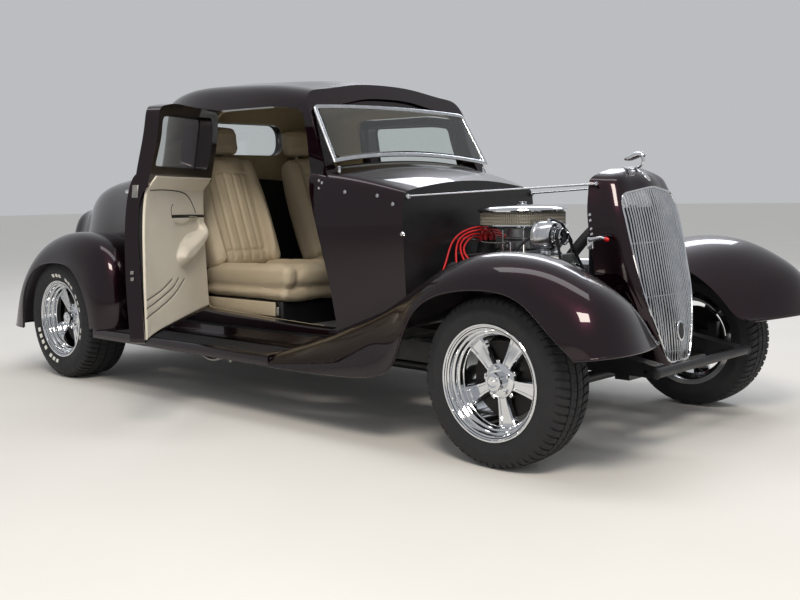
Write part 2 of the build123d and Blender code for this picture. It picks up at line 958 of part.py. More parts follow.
# Fenders: thin shells carried along the crown line over each wheel
for end, table in (("front", front_fender_table), ("rear", rear_fender_table)):
    with BuildPart() as fender:
        loft(sections=[fender_section(row) for row in table])
        add(body_outer.part, mode=Mode.SUBTRACT)
    finish(fender.part, f"fender_{end}_left")
    with BuildPart() as other_fender:
        add(fender.part)
        mirror(about=Plane.XZ, mode=Mode.REPLACE)
    finish(other_fender.part, f"fender_{end}_right")

# Running boards: a rolled outer edge, a flat top and a rise to the body
for word, side in (("left", 1), ("right", -1)):
    with BuildPart() as board:
        with BuildSketch(Plane(origin=(board_rear_x, 0, 0), x_dir=(0, side, 0), z_dir=(side, 0, 0))):
            with BuildLine():
                Polyline(
                    (board_outer, board_bottom),
                    (board_outer, board_top - board_wall),
                    (board_outer - board_wall, board_top),
                    (board_inner + 45, board_top),
                    (board_inner, board_rise),
                    (board_inner, board_rise - board_wall),
                    (board_inner + 40, board_top - board_wall),
                    (board_outer - board_wall, board_top - board_wall),
                    (board_outer - board_wall, board_bottom),
                    close=True,
                )
            make_face()
        extrude(amount=side * (board_front_x - board_rear_x))
        with Locations((board_rear_x, side * board_inner, board_top)):
            Box(
                2 * (board_step_x - board_rear_x),
                120,
                4 * (board_rise - board_top),
                mode=Mode.SUBTRACT,
            )
    finish(board.part, f"running_board_{word}")

def shell_section(row, inset, back):
    """Plan section of the radiator shell: flat back, raked sides and a pointed front."""
    z, back_x, back_half, front_x, front_half, nose_x = row
    widening = back * (back_half - front_half) / (front_x - back_x)
    back_y = back_half - inset + widening
    with BuildSketch(Plane.XY.offset(z)) as section:
        with BuildLine():
            Polyline(
                (back_x - back, back_y),
                (front_x - inset, front_half - inset),
                (nose_x - inset, 0),
                (front_x - inset, -front_half + inset),
                (back_x - back, -back_y),
                close=True,
            )
        make_face()
    return section.sketch


def shell_form(inset, back, top_drop):
    """Radiator shell form set in by an amount, lowered at the top and carried back past its open rear."""
    rows = [shell_table[0]] + [(row[0] - top_drop,) + tuple(row[1:]) for row in shell_table[1:]]
    with BuildPart() as form:
        loft(sections=[shell_section(row, inset, back) for row in rows], ruled=True)
    return form.part


def front_prism(outline, grow):
    """Solid along the car with a front-view outline of heights and half-widths."""
    with BuildPart() as prism:
        with BuildSketch(across(1400)):
            with BuildLine():
                Polyline([(y, z) for z, y in outline] + [(-y, z) for z, y in reversed(outline)], close=True)
            make_face()
            if grow != 0:
                offset(amount=grow, kind=Kind.INTERSECTION)
        extrude(amount=600)
    return prism.part


# Radiator shell, its grille of upright bars and the core inside
shell_outer = shell_form(0, 0, 0)
shell_inner = shell_form(shell_wall, shell_run_out, shell_wall)
with BuildPart() as radiator_shell:
    add(shell_outer)
    add(shell_inner, mode=Mode.SUBTRACT)
    add(front_prism(grille_outline, 0), mode=Mode.SUBTRACT)
finish(radiator_shell.part, "radiator_shell")



def shell_face(y, z):
    """Distance forward of the shell's raked face at a half-width and a height, between its stations."""
    for low, high in zip(shell_table[:-1], shell_table[1:]):
        if low[0] <= z <= high[0]:
            share = (z - low[0]) / (high[0] - low[0])
            edge, half, nose = (low[k] + share * (high[k] - low[k]) for k in (3, 4, 5))
            return nose + (edge - nose) * abs(y) / half
    return shell_table[-1][5]


def opening_half(z):
    """Half-width of the grille opening at a height."""
    for (low, low_half), (high, high_half) in zip(grille_outline[:-1], grille_outline[1:]):
        if low <= z <= high:
            return low_half + (high_half - low_half) * (z - low) / (high - low)
    return 0


def opening_span(y):
    """Heights between which the grille opening is wider than a half-width."""
    bottom = grille_outline[0][0] + seat_gap
    top = grille_outline[-1][0] - seat_gap
    for (low, low_half), (high, high_half) in zip(grille_outline[:-1], grille_outline[1:]):
        if low_half < y <= high_half:
            bottom = low + (high - low) * (y - low_half) / (high_half - low_half)
        if high_half < y <= low_half:
            top = low + (high - low) * (y - low_half) / (high_half - low_half)
    return bottom, top


bar_pitch = 2 * (max(half for z, half in grille_outline) - bar_thickness) / (grille_bars - 1)
cross_front = bar_depth - cross_bar_bite
with BuildPart() as grille:
    for count in range(grille_bars):
        y = bar_pitch * (count - (grille_bars - 1) / 2)
        bottom, top = opening_span(abs(y) + bar_thickness / 2 + 2 * seat_gap)
        heights = [bottom] + [row[0] for row in shell_table if bottom < row[0] < top] + [top]
        face = [(shell_face(y, z), z) for z in heights]
        bar_plane = Plane(origin=(0, y + bar_thickness / 2, 0), x_dir=(1, 0, 0), z_dir=(0, -1, 0))
        with BuildSketch(bar_plane):
            with BuildLine():
                Polyline(face + [(x - bar_depth, z) for x, z in reversed(face)], close=True)
            make_face()
        extrude(amount=bar_thickness)
    for z in cross_bar_heights:
        half = min(opening_half(z - cross_bar_height / 2), opening_half(z + cross_bar_height / 2)) - 2 * seat_gap
        bend = [(shell_face(y, z) - cross_front, y) for y in (half, 0, -half)]
        with BuildSketch(Plane.XY.offset(z - cross_bar_height / 2)):
            with BuildLine():
                Polyline(bend + [(x - cross_bar_depth, y) for x, y in reversed(bend)], close=True)
            make_face()
        extrude(amount=cross_bar_height)
finish(grille.part, "grille")

with BuildPart() as radiator_core:
    add(shell_form(shell_wall + seat_gap, shell_run_out, shell_wall + seat_gap))
    add(side_prism(core_outline, -400, 400, 1), mode=Mode.INTERSECT)
finish(radiator_core.part, "radiator_core")

# Ornament: a plain streamlined drop on a short foot
with BuildPart() as ornament:
    with BuildSketch(Plane(origin=(ornament_x, 0, ornament_z), x_dir=(1, 0, 0), z_dir=(0, -1, 0))):
        with BuildLine():
            shoulder = (ornament_nose * 0.3, ornament_radius)
            nose = (ornament_nose, ornament_tip)
            tail_end = (-ornament_tail, ornament_tip)
            ThreePointArc(tail_end, (-ornament_tail * 0.3, ornament_radius * 0.8), shoulder)
            ThreePointArc(shoulder, (ornament_nose * 0.78, ornament_radius * 0.72), nose)
            Polyline(nose, (ornament_nose, 0), (-ornament_tail, 0), tail_end)
        make_face()
    revolve(axis=Axis((ornament_x, 0, ornament_z), (1, 0, 0)))
    with BuildSketch(Plane.XY.offset(shell_table[-1][0] + seat_gap)):
        with Locations((ornament_x, 0)):
            Circle(ornament_foot)
    extrude(amount=ornament_z - shell_table[-1][0] - seat_gap)
finish(ornament.part, "ornament")

# Two thin stays from the firewall to the radiator shell
with BuildPart() as stay_rods:
    for side in (1, -1):
        add(pair_rod(stay_rear, stay_front, stay_radius, side))
    add(shell_form(-seat_gap, 0, -seat_gap), mode=Mode.SUBTRACT)
    add(slab(firewall_x - 100, firewall_x + seat_gap), mode=Mode.SUBTRACT)
finish(stay_rods.part, "stay_rods")


def bank_plane(side):
    """Plane through the crank, square to one bank's cylinders."""
    lean = math.radians(bank_angle)
    return Plane(
        origin=((engine_rear_x + engine_front_x) / 2, 0, crank_z),
        x_dir=(1, 0, 0),
        z_dir=(0, side * math.sin(lean), math.cos(lean)),
    )


def bank_point(x, rise, reach):
    """Point on the left bank: rise along its cylinders, reach outwards across them."""
    lean = math.radians(bank_angle)
    y = rise * math.sin(lean) + reach * math.cos(lean)
    z = crank_z + rise * math.cos(lean) - reach * math.sin(lean)
    return (x, y, z)


# Engine block with its sump, mounting arms, bell housing and gearbox
with BuildPart() as engine_block:
    with BuildSketch(across(engine_rear_x)):
        with BuildLine():
            Polyline(list(block_outline) + [(-y, z) for y, z in reversed(block_outline)], close=True)
        make_face()
    extrude(amount=engine_front_x - engine_rear_x)
    with Locations(((engine_rear_x + engine_front_x) / 2 - 20, 0, (sump_low + block_outline[0][1]) / 2)):
        Box(engine_front_x - engine_rear_x - 80, 2 * sump_half, block_outline[0][1] - sump_low)
    with Locations((arm_x, 0, block_outline[0][1] + arm_height / 2)):
        Box(arm_length, 2 * arm_reach, arm_height)
    for side in (1, -1):
        bank = bank_plane(side)
        with BuildSketch(bank.offset(bank_low)):
            Rectangle(engine_front_x - engine_rear_x - 20, 2 * bank_half)
        extrude(amount=deck_height - bank_low)
    with BuildSketch(Plane(origin=(0, 0, crank_z), x_dir=(1, 0, 0), z_dir=(0, -1, 0))):
        with BuildLine():
            ends = [(gearbox_outline[-1][0], 0), (gearbox_outline[0][0], 0)]
            Polyline(list(gearbox_outline) + ends, close=True)
        make_face()
    revolve(axis=Axis((0, 0, crank_z), (1, 0, 0)))
finish(engine_block.part, "engine_block")

# Cylinder heads with ribbed covers, one solid each side
with BuildPart() as cylinder_heads:
    for side in (1, -1):
        bank = bank_plane(side)
        with BuildSketch(bank.offset(deck_height)):
            Rectangle(head_length, 2 * head_half)
        extrude(amount=head_height)
        with BuildSketch(bank.offset(deck_height + head_height)):
            RectangleRounded(cover_length, 2 * cover_half, 18)
        extrude(amount=cover_height, taper=12)
finish(cylinder_heads.part, "cylinder_heads")

# Intake manifold in the valley, with the carburettor, and the distributor behind it
with BuildPart() as intake:
    with BuildSketch(across(intake_rear_x)):
        with BuildLine():
            Polyline(list(intake_outline) + [(-y, z) for y, z in reversed(intake_outline[1:])], close=True)
        make_face()
    extrude(amount=intake_front_x - intake_rear_x)
    with Locations((carb_x, 0, (intake_outline[-1][1] + carb_top) / 2)):
        Box(carb_length, carb_width, carb_top - intake_outline[-1][1])
    with Locations((carb_x, 0, carb_top)):
        Cylinder(throat_radius, cleaner_low - seat_gap - carb_top, align=(Align.CENTER, Align.CENTER, Align.MIN))
finish(intake.part, "intake")

with BuildPart() as distributor:
    with Locations((distributor_x, 0, distributor_low)):
        post = (Align.CENTER, Align.CENTER, Align.MIN)
        Cylinder(distributor_radius, cap_low - distributor_low, align=post)
    with Locations((distributor_x, 0, cap_low)):
        Cone(cap_base, cap_crown, cap_high - cap_low, align=post)
finish(distributor.part, "distributor")

# Air cleaner: a wide drum with a domed lid
with BuildPart() as air_cleaner:
    with BuildSketch(Plane(origin=(carb_x, 0, 0), x_dir=(1, 0, 0), z_dir=(0, -1, 0))):
        with BuildLine():
            Polyline(
                (0, cleaner_low),
                (cleaner_radius - 14, cleaner_low),
                (cleaner_radius - 6, cleaner_low + 12),
                (cleaner_radius - 6, cleaner_high - 26),
                (cleaner_radius, cleaner_high - 20),
                (cleaner_radius - 8, cleaner_high - 8),
                (cleaner_radius - 60, cleaner_high),
                (0, cleaner_high + 4),
                close=True,
            )
        make_face()
    revolve(axis=Axis((carb_x, 0, 0), (0, 0, 1)))
finish(air_cleaner.part, "air_cleaner")

# Front drive: crank pulley, water pump with the fan, and the alternator on its bracket
with BuildPart() as front_drive:
    for x, y, z, radius, length in drum_table:
        with Locations(Location((x + length / 2, y, z), (0, 90, 0))):
            Cylinder(radius, length)
    for x, y, z, size_x, size_y, size_z in drive_block_table:
        with Locations((x, y, z)):
            Box(size_x, size_y, size_z)
    with BuildSketch(Plane(origin=(fan_x, 0, fan_z), x_dir=(0, 1, 0), z_dir=(1, 0, 0))):
        with PolarLocations(0, fan_blades):
            with Locations((fan_radius / 2, 0)):
                Rectangle(fan_radius, fan_blade_width)
    extrude(amount=fan_depth)
finish(front_drive.part, "front_drive")

# Exhaust: four short pipes a side into a collector, then a pipe and a silencer under the floor
with BuildPart() as exhaust:
    port_rise = deck_height + head_height / 2
    pipe_y = bank_point(0, port_rise, head_half + header_reach)[1]
    collector_front = (port_stations[-1] + collector_radius, pipe_y, pipe_z)
    collector_rear = (port_stations[0] - collector_reach, pipe_y, pipe_z)
    silencer_ends = ((silencer_front_x, pipe_y, pipe_z), (silencer_rear_x, pipe_y, pipe_z))
    for side in (1, -1):
        for x in port_stations:
            port = bank_point(x, port_rise, head_half + seat_gap)
            elbow = bank_point(x, port_rise, head_half + header_reach)
            add(pair_rod(port, elbow, header_radius, side))
            with Locations((x, side * pipe_y, elbow[2])):
                Sphere(header_radius)
            add(pair_rod(elbow, (x, pipe_y, pipe_z), header_radius, side))
        add(pair_rod(collector_front, collector_rear, collector_radius, side))
        add(pair_rod(collector_rear, (pipe_end_x, pipe_y, pipe_z), pipe_radius, side))
        add(pair_rod(*silencer_ends, silencer_radius, side))
finish(exhaust.part, "exhaust")

# Rear axle: tube, differential, brake back plates, drive shaft and dampers up to the rails
with BuildPart() as rear_axle:
    for reach, radius in ((rear_stub_y, stub_radius), (rear_plate_y, axle_radius)):
        ends = [(rear_axle_x, side * reach, rear_tyre_radius) for side in (1, -1)]
        add(rod(*ends, radius))
    with Locations((rear_axle_x, 0, rear_tyre_radius)):
        Sphere(differential_radius)
    add(rod(shaft_front, (rear_axle_x + 60, 0, rear_tyre_radius), shaft_radius))
    for side in (1, -1):
        plate = [(rear_axle_x, y, rear_tyre_radius) for y in (rear_plate_y - plate_thickness, rear_plate_y)]
        add(pair_rod(*plate, drum_radius, side))
        damper = [(rear_axle_x, damper_y, z) for z in (rear_tyre_radius, rail_table[2][1] - seat_gap)]
        add(pair_rod(*damper, damper_radius, side))
finish(rear_axle.part, "rear_axle")

# Front axle: a dropped tube with a boss at each kingpin, hung from the front member by a leaf pack
with BuildPart() as front_axle:
    outer_end = (front_axle_x, kingpin_y, front_tyre_radius)
    drop_top = (front_axle_x, drop_outer_y, front_tyre_radius)
    drop_foot = (front_axle_x, drop_inner_y, beam_z)
    for side in (1, -1):
        add(pair_rod(outer_end, drop_top, axle_radius_front, side))
        add(pair_rod(drop_top, drop_foot, axle_radius_front, side))
        for point in (drop_top, drop_foot):
            with Locations((front_axle_x, side * point[1], point[2])):
                Sphere(axle_radius_front)
        add(pair_rod(drop_foot, (front_axle_x, 0, beam_z), axle_radius_front, side))
    with Locations(*[(front_axle_x, side * kingpin_y, front_tyre_radius) for side in (1, -1)]):
        Cylinder(boss_radius, boss_height)
    for side in (1, -1):
        with Locations((front_axle_x, side * hanger_y, (beam_z + hanger_top) / 2)):
            Cylinder(hanger_radius, hanger_top - beam_z)
    with Locations(*[(front_axle_x, side * kingpin_y, front_tyre_radius) for side in (1, -1)]):
        Cylinder(kingpin_radius + seat_gap, boss_height, mode=Mode.SUBTRACT)
finish(front_axle.part, "front_axle")

# Knuckles: kingpin held between two ears, stub axle, steering arm with its pin, and a brake caliper
for word, side in (("left", 1), ("right", -1)):
    with BuildPart() as knuckle:
        with Locations((front_axle_x, side * kingpin_y, front_tyre_radius)):
            Cylinder(kingpin_radius, boss_height + 2 * ear_thickness)
        for end in (1, -1):
            ear_z = front_tyre_radius + end * (boss_height / 2 + seat_gap + ear_thickness / 2)
            with Locations((front_axle_x, side * kingpin_y, ear_z)):
                Cylinder(ear_radius, ear_thickness)
            with Locations((front_axle_x, side * (kingpin_y + web_y / 2), ear_z)):
                Box(2 * ear_radius - 6, web_y, ear_thickness)
        with Locations((front_axle_x, side * (kingpin_y + web_y), front_tyre_radius)):
            Box(2 * ear_radius - 6, web_thickness, boss_height + 2 * ear_thickness + 2 * seat_gap)
        stub_start = side * (kingpin_y + web_y - web_thickness / 2)
        add(rod((front_axle_x, stub_start, front_tyre_radius), (front_axle_x, side * front_stub_y, front_tyre_radius), stub_radius))
        low_ear = front_tyre_radius - boss_height / 2 - seat_gap - ear_thickness / 2
        arm_end = front_axle_x - steer_arm_length
        with Locations(((front_axle_x + arm_end) / 2, side * kingpin_y, low_ear)):
            Box(steer_arm_length, arm_width, ear_thickness)
        with Locations((arm_end, side * kingpin_y, low_ear)):
            Cylinder(arm_width / 2, ear_thickness)
        with Locations((arm_end, side * kingpin_y, low_ear - ear_thickness / 2)):
            Cylinder(arm_pin_radius, arm_pin_length, align=(Align.CENTER, Align.CENTER, Align.MAX))
        with Locations((front_axle_x + caliper_x / 2, side * (kingpin_y + web_y), front_tyre_radius + 20)):
            Box(caliper_x, web_thickness, 30)
        with Locations((front_axle_x + caliper_x, side * (kingpin_y + web_y - 8), front_tyre_radius + 20)):
            Box(44, web_thickness + 16, 110)
    finish(knuckle.part, f"knuckle_{word}")

# Tie rod between the two arms' pins
with BuildPart() as tie_rod:
    eye_z = front_tyre_radius - boss_height / 2 - seat_gap - ear_thickness - seat_gap - eye_height / 2
    rod_x = front_axle_x - steer_arm_length
    for side in (1, -1):
        with Locations((rod_x, side * kingpin_y, eye_z)):
            Cylinder(eye_radius, eye_height)
    add(rod((rod_x, -kingpin_y, eye_z), (rod_x, kingpin_y, eye_z), tie_rod_radius))
    for side in (1, -1):
        with Locations((rod_x, side * kingpin_y, eye_z)):
            Cylinder(arm_pin_radius + seat_gap, eye_height + 4, mode=Mode.SUBTRACT)
finish(tie_rod.part, "tie_rod")


def wheel_plane(x, y, z, side):
    """Radial plane of a wheel: local x is outwards along the axle, local y is up."""
    return Plane(origin=(x, side * y, z), x_dir=(0, side, 0), z_dir=(side, 0, 0))


# Wheels: tyre, rim with five spokes, and the brake part that turns with them
for end, axle_x, track_half, radius, width, rim_half in wheel_table:
    for word, side in (("left", 1), ("right", -1)):
        plane = wheel_plane(axle_x, track_half, radius, side)
        spin = Axis((axle_x, side * track_half, radius), (0, 1, 0))
        half = width / 2
        with BuildPart() as tyre:
            with BuildSketch(plane):
                with BuildLine():
                    bead = rim_half - rim_wall - seat_gap
                    seat = bead_radius + seat_gap
                    lip = flange_radius + 1
                    bulge = (flange_radius + radius) / 2 - 6
                    Polyline((-bead, lip), (-bead, seat), (bead, seat), (bead, lip))
                    ThreePointArc((bead, lip), (half, bulge), (half - 12, radius - 26))
                    ThreePointArc((half - 12, radius - 26), (half - 19, radius - 11), (half - 34, radius - 4))
                    ThreePointArc((half - 34, radius - 4), (0, radius), (-half + 34, radius - 4))
                    ThreePointArc((-half + 34, radius - 4), (-half + 19, radius - 11), (-half + 12, radius - 26))
                    ThreePointArc((-half + 12, radius - 26), (-half, bulge), (-bead, lip))
                make_face()
            revolve(axis=spin)
        finish(tyre.part, f"tyre_{end}_{word}")
        face_out = rim_half - dish_depth
        with BuildPart() as rim:
            with BuildSketch(plane):
                with BuildLine():
                    Polyline(
                        (-rim_half, flange_radius),
                        (-rim_half + rim_wall, flange_radius),
                        (-rim_half + rim_wall, bead_radius),
                        (-rim_half + 36, bead_radius),
                        (-rim_half + 48, well_radius),
                        (rim_half - 60, well_radius),
                        (rim_half - 44, bead_radius),
                        (rim_half - rim_wall, bead_radius),
                        (rim_half - rim_wall, flange_radius),
                        (rim_half, flange_radius),
                        (rim_half, bead_radius - rim_wall),
                        (rim_half - 41, bead_radius - rim_wall),
                        (rim_half - 57, well_radius - rim_wall),
                        (-rim_half + 45, well_radius - rim_wall),
                        (-rim_half + 33, bead_radius - rim_wall),
                        (-rim_half, bead_radius - rim_wall),
                        close=True,
                    )
                make_face()
                with BuildLine():
                    Polyline(
                        (face_out - spoke_thickness, 0),
                        (face_out - spoke_thickness, hub_radius),
                        (face_out + 2, hub_radius - 6),
                        (face_out + 6, cap_radius + 6),
                        (face_out + 6, cap_radius),
                        (face_out + cap_height - 6, cap_radius),
                        (face_out + cap_height, cap_radius - 8),
                        (face_out + cap_height, 0),
                        close=True,
                    )
                make_face()
            revolve(axis=spin)
            spoke_plane = Plane(
                origin=(axle_x, side * (track_half + face_out), radius),
                x_dir=(1, 0, 0),
                z_dir=(0, side, 0),
            )
            with BuildSketch(spoke_plane):
                with PolarLocations(0, spoke_count, start_angle=-spoke_start * side):
                    Polygon(
                        (hub_radius - 14, -spoke_root_half),
                        (well_radius - 3, -spoke_tip_half),
                        (well_radius - 3, spoke_tip_half),
                        (hub_radius - 14, spoke_root_half),
                        align=None,
                    )
            extrude(amount=-spoke_thickness)
        finish(rim.part, f"rim_{end}_{word}")
        back_face = track_half + face_out - spoke_thickness - seat_gap
        hub = [(axle_x, y, radius) for y in (back_face - drum_depth, back_face)]
        with BuildPart() as brake:
            if end == "rear":
                add(pair_rod(*hub, drum_radius, side))
                inner = (axle_x, back_face - drum_web, radius)
                add(pair_rod(hub[0], inner, drum_radius - drum_wall, side), mode=Mode.SUBTRACT)
                add(pair_rod((axle_x, back_face - drum_boss, radius), inner, stub_radius + drum_wall, side))
            else:
                add(pair_rod((axle_x, back_face - disc_thickness, radius), hub[1], disc_radius, side))
            add(pair_rod(*hub, stub_radius + seat_gap, side), mode=Mode.SUBTRACT)
        finish(brake.part, f"brake_{end}_{word}")

# Seats: plain bases, cushions and backs with headrests, one solid each side
seat_middle = (seat_inner + seat_outer) / 2
with BuildPart() as seat_bases:
    for side in (1, -1):
        add(side_prism(base_outline, seat_inner + 20, seat_outer - 20, side))
finish(seat_bases.part, "seat_bases")

with BuildPart() as seat_cushions:
    for side in (1, -1):
        with Locations(((seat_rear_x + seat_front_x) / 2, side * seat_middle, (cushion_bottom + cushion_top) / 2)):
            Box(seat_front_x - seat_rear_x, seat_outer - seat_inner, cushion_top - cushion_bottom)
    fillet(seat_cushions.edges().filter_by(Axis.Z), radius=cushion_corner)
    fillet(seat_cushions.faces().filter_by(Axis.Z).sort_by(Axis.Z)[-2:].edges(), radius=cushion_round)
finish(seat_cushions.part, "seat_cushions")



def seat_back(side):
    """One seat back, narrower at the shoulders, with its headrest."""
    with BuildPart() as back:
        add(side_prism(back_outline, seat_inner + 4, seat_outer - 4, side))
        add(length_prism(seat_front_view, -900, 0, side), mode=Mode.INTERSECT)
        add(side_prism(headrest_outline, headrest_y - headrest_half, headrest_y + headrest_half, side))
    return back.part


with BuildPart() as seat_backs:
    for side in (1, -1):
        add(seat_back(side))
finish(seat_backs.part, "seat_backs")

# Steering column and wheel
slope = math.radians(column_angle)
column_run = Vector(math.cos(slope), 0, -math.sin(slope))
with BuildPart() as steering_column:
    start = Vector(*wheel_centre) + column_run * column_gap
    end = Vector(*wheel_centre) + column_run * column_length
    add(rod(tuple(start), tuple(end), column_radius))
    add(slab(-500, firewall_x - firewall_wall - seat_gap), mode=Mode.INTERSECT)
    drop_z = wheel_centre[2] - (column_drop_x - wheel_centre[0]) * math.tan(slope)
    with Locations((column_drop_x, wheel_centre[1], (drop_z + dash_low - seat_gap) / 2)):
        Box(40, 60, dash_low - seat_gap - drop_z)
finish(steering_column.part, "steering_column")

with BuildPart() as steering_wheel:
    wheel_face = Plane(origin=wheel_centre, x_dir=(0, 1, 0), z_dir=column_run)
    with Locations(wheel_face):
        Torus(wheel_ring_radius, grip_radius)
        Cylinder(wheel_hub_radius, 2 * (column_gap - seat_gap))
    for angle in wheel_spoke_angles:
        turn = math.radians(angle)
        tip = wheel_face.from_local_coords((wheel_ring_radius * math.sin(turn), wheel_ring_radius * math.cos(turn), 0))
        add(rod(wheel_centre, tuple(tip), wheel_spoke_radius))
finish(steering_wheel.part, "steering_wheel")

# Fuel tank under the boot floor, and round lamps on the flat end of the tail
with BuildPart() as fuel_tank:
    tank_top = member_table[-1][1] - member_table[-1][3] / 2 - seat_gap
    with Locations((tank_x, 0, tank_top - tank_height / 2)):
        Box(tank_length, 2 * tank_half, tank_height)
    fillet(fuel_tank.edges().filter_by(Axis.Z), radius=40)
finish(fuel_tank.part, "fuel_tank")

with BuildPart() as tail_lamps:
    lamp = [(body_table[0][0] - reach, lamp_y, lamp_z) for reach in (seat_gap, lamp_depth)]
    for side in (1, -1):
        add(pair_rod(*lamp, lamp_radius, side))
finish(tail_lamps.part, "tail_lamps")
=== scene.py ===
"""Looks of a fendered coupe hot rod with an open engine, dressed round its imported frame.

Sizes in the tables are millimetres, as they are in the part's source, and metres() brings them to the scene.
+X is forward, +Y is the car's left and +Z is up, from the floor under the middle of the wheelbase.
"""
import math

import bmesh
import bpy
import numpy as np
from mathutils import Matrix, Vector


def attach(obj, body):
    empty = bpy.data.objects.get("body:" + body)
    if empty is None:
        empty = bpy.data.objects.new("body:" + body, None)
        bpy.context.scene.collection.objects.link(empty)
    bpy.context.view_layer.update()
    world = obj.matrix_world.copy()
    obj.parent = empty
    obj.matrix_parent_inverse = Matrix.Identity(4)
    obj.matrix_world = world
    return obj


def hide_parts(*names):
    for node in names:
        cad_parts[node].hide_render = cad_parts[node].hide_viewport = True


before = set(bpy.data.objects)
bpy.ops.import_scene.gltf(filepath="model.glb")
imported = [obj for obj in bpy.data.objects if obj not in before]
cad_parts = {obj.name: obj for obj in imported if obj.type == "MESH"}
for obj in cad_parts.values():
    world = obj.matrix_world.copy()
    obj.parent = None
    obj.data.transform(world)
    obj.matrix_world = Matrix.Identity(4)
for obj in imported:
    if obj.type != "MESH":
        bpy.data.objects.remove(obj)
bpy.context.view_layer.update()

turn_once = 2 * math.pi
both_sides = (("left", 1), ("right", -1))


def metres(values):
    """Millimetres, in any nesting, as an array of metres."""
    return np.array(values, float) / 1000


def unit(vectors):
    """Vectors cut to length one along the last axis."""
    return vectors / np.maximum(np.linalg.norm(vectors, axis=-1, keepdims=True), 1e-12)


def spline(keys, values, at):
    """Natural cubic spline through values at keys, read at other keys.

    Its second derivatives solve one linear system: each span's bend balances its neighbours'.
    """
    keys = np.asarray(keys, float)
    values = np.asarray(values, float)
    gap = np.diff(keys)
    slope = np.diff(values, axis=0) / gap.reshape(-1, *[1] * (values.ndim - 1))
    system = np.eye(len(keys))
    right = np.zeros_like(values)
    for i in range(1, len(keys) - 1):
        system[i, i - 1:i + 2] = gap[i - 1], 2 * (gap[i - 1] + gap[i]), gap[i]
        right[i] = 6 * (slope[i] - slope[i - 1])
    bend = np.linalg.solve(system, right.reshape(len(keys), -1)).reshape(values.shape)
    at = np.asarray(at, float)
    i = np.clip(np.searchsorted(keys, at) - 1, 0, len(keys) - 2)
    shape = (-1, *[1] * (values.ndim - 1))
    h = gap[i].reshape(shape)
    t = (at - keys[i]).reshape(shape)
    first = slope[i] - h * (2 * bend[i] + bend[i + 1]) / 6
    return values[i] + t * first + t**2 * bend[i] / 2 + t**3 * (bend[i + 1] - bend[i]) / (6 * h)


def chord_keys(points):
    """Running share of the length along the first axis, averaged over the second."""
    step = np.linalg.norm(np.diff(points, axis=0), axis=-1)
    if step.ndim > 1:
        step = step.mean(1)
    run = np.concatenate([[0], np.cumsum(step)])
    return run / run[-1]


def curve(points, count):
    """Smooth line through a few points: a natural spline over the running length."""
    points = np.asarray(points, float)
    return spline(chord_keys(points), points, np.linspace(0, 1, count))


def net_surface(net, keys, at, columns):
    """Smooth surface through a net: splines over its rows' keys, read at others, then across the rows."""
    turned = np.swapaxes(spline(keys, net, at), 0, 1)
    across = spline(chord_keys(np.swapaxes(net, 0, 1)), turned, np.linspace(0, 1, columns))
    return np.swapaxes(across, 0, 1)


def quads(rows, columns, wrap_rows=False, wrap_columns=False):
    """Faces of a grid of points in reading order: each joins a point, the one after it and the two below."""
    index = np.arange(rows * columns).reshape(rows, columns)
    if wrap_rows:
        index = np.concatenate([index, index[:1]])
    if wrap_columns:
        index = np.concatenate([index, index[:, :1]], 1)
    corners = [index[:-1, :-1], index[:-1, 1:], index[1:, 1:], index[1:, :-1]]
    return np.stack(corners, -1).reshape(-1, 4)


def ring_faces(rows, columns, closed=False):
    """Faces of a row of rings, whose first and last are filled flat unless the row meets its own start."""
    faces = quads(rows, columns, closed, True).tolist()
    if not closed:
        last = rows * columns
        faces += [list(range(columns)), list(range(last - columns, last))]
    return faces


def ellipse(half_width, half_height, sides=48):
    """Flat ellipse about the origin."""
    turn = np.linspace(0, turn_once, sides, endpoint=False)
    return np.column_stack([half_width * np.cos(turn), half_height * np.sin(turn)])


def joined(shapes):
    """Several shapes as one: points in a row, and faces counted on."""
    points = []
    faces = []
    start = 0
    for some_points, some_faces in shapes:
        points.append(some_points)
        faces += [[v + start for v in face] for face in some_faces]
        start += len(some_points)
    return np.concatenate(points), faces


def repeated(shape, moves):
    """Copies of one shape, each turned and moved by its own 4 by 4 matrix."""
    points, faces = shape
    table = np.array([np.array(move) for move in moves])
    copies = np.einsum("kij,nj->kni", table[:, :3, :3], points) + table[:, None, :3, 3]
    starts = np.arange(len(moves)) * len(points)
    all_faces = [[v + start for v in face] for start in starts.tolist() for face in faces]
    return copies.reshape(-1, 3), all_faces


def placed(shape, origin, x_axis=(1, 0, 0), y_axis=(0, 1, 0)):
    """Shape moved to an origin, with its own x and y along two given axes and its z square to them."""
    x_axis = unit(np.asarray(x_axis, float))
    z_axis = unit(np.cross(x_axis, np.asarray(y_axis, float)))
    turn = np.stack([x_axis, np.cross(z_axis, x_axis), z_axis])
    return shape[0] @ turn + np.asarray(origin, float), shape[1]


def stood(shape, origin, axis):
    """Shape moved to an origin, with its own z along an axis."""
    axis = unit(np.asarray(axis, float))
    side = np.cross(axis, (0, 1, 0) if abs(axis[1]) < 0.9 else (1, 0, 0))
    return placed(shape, origin, side, np.cross(axis, side))


def mirrored(shape):
    """Shape on the car's other side: y changes sign."""
    return shape[0] * (1, -1, 1), shape[1]


def on_side(shape, side):
    """Left-hand shape on the car's left, for side 1, or on its right, for side -1."""
    return shape if side > 0 else mirrored(shape)


def both(shape):
    """Shape and its mirror image about the centre plane."""
    return joined([shape, mirrored(shape)])


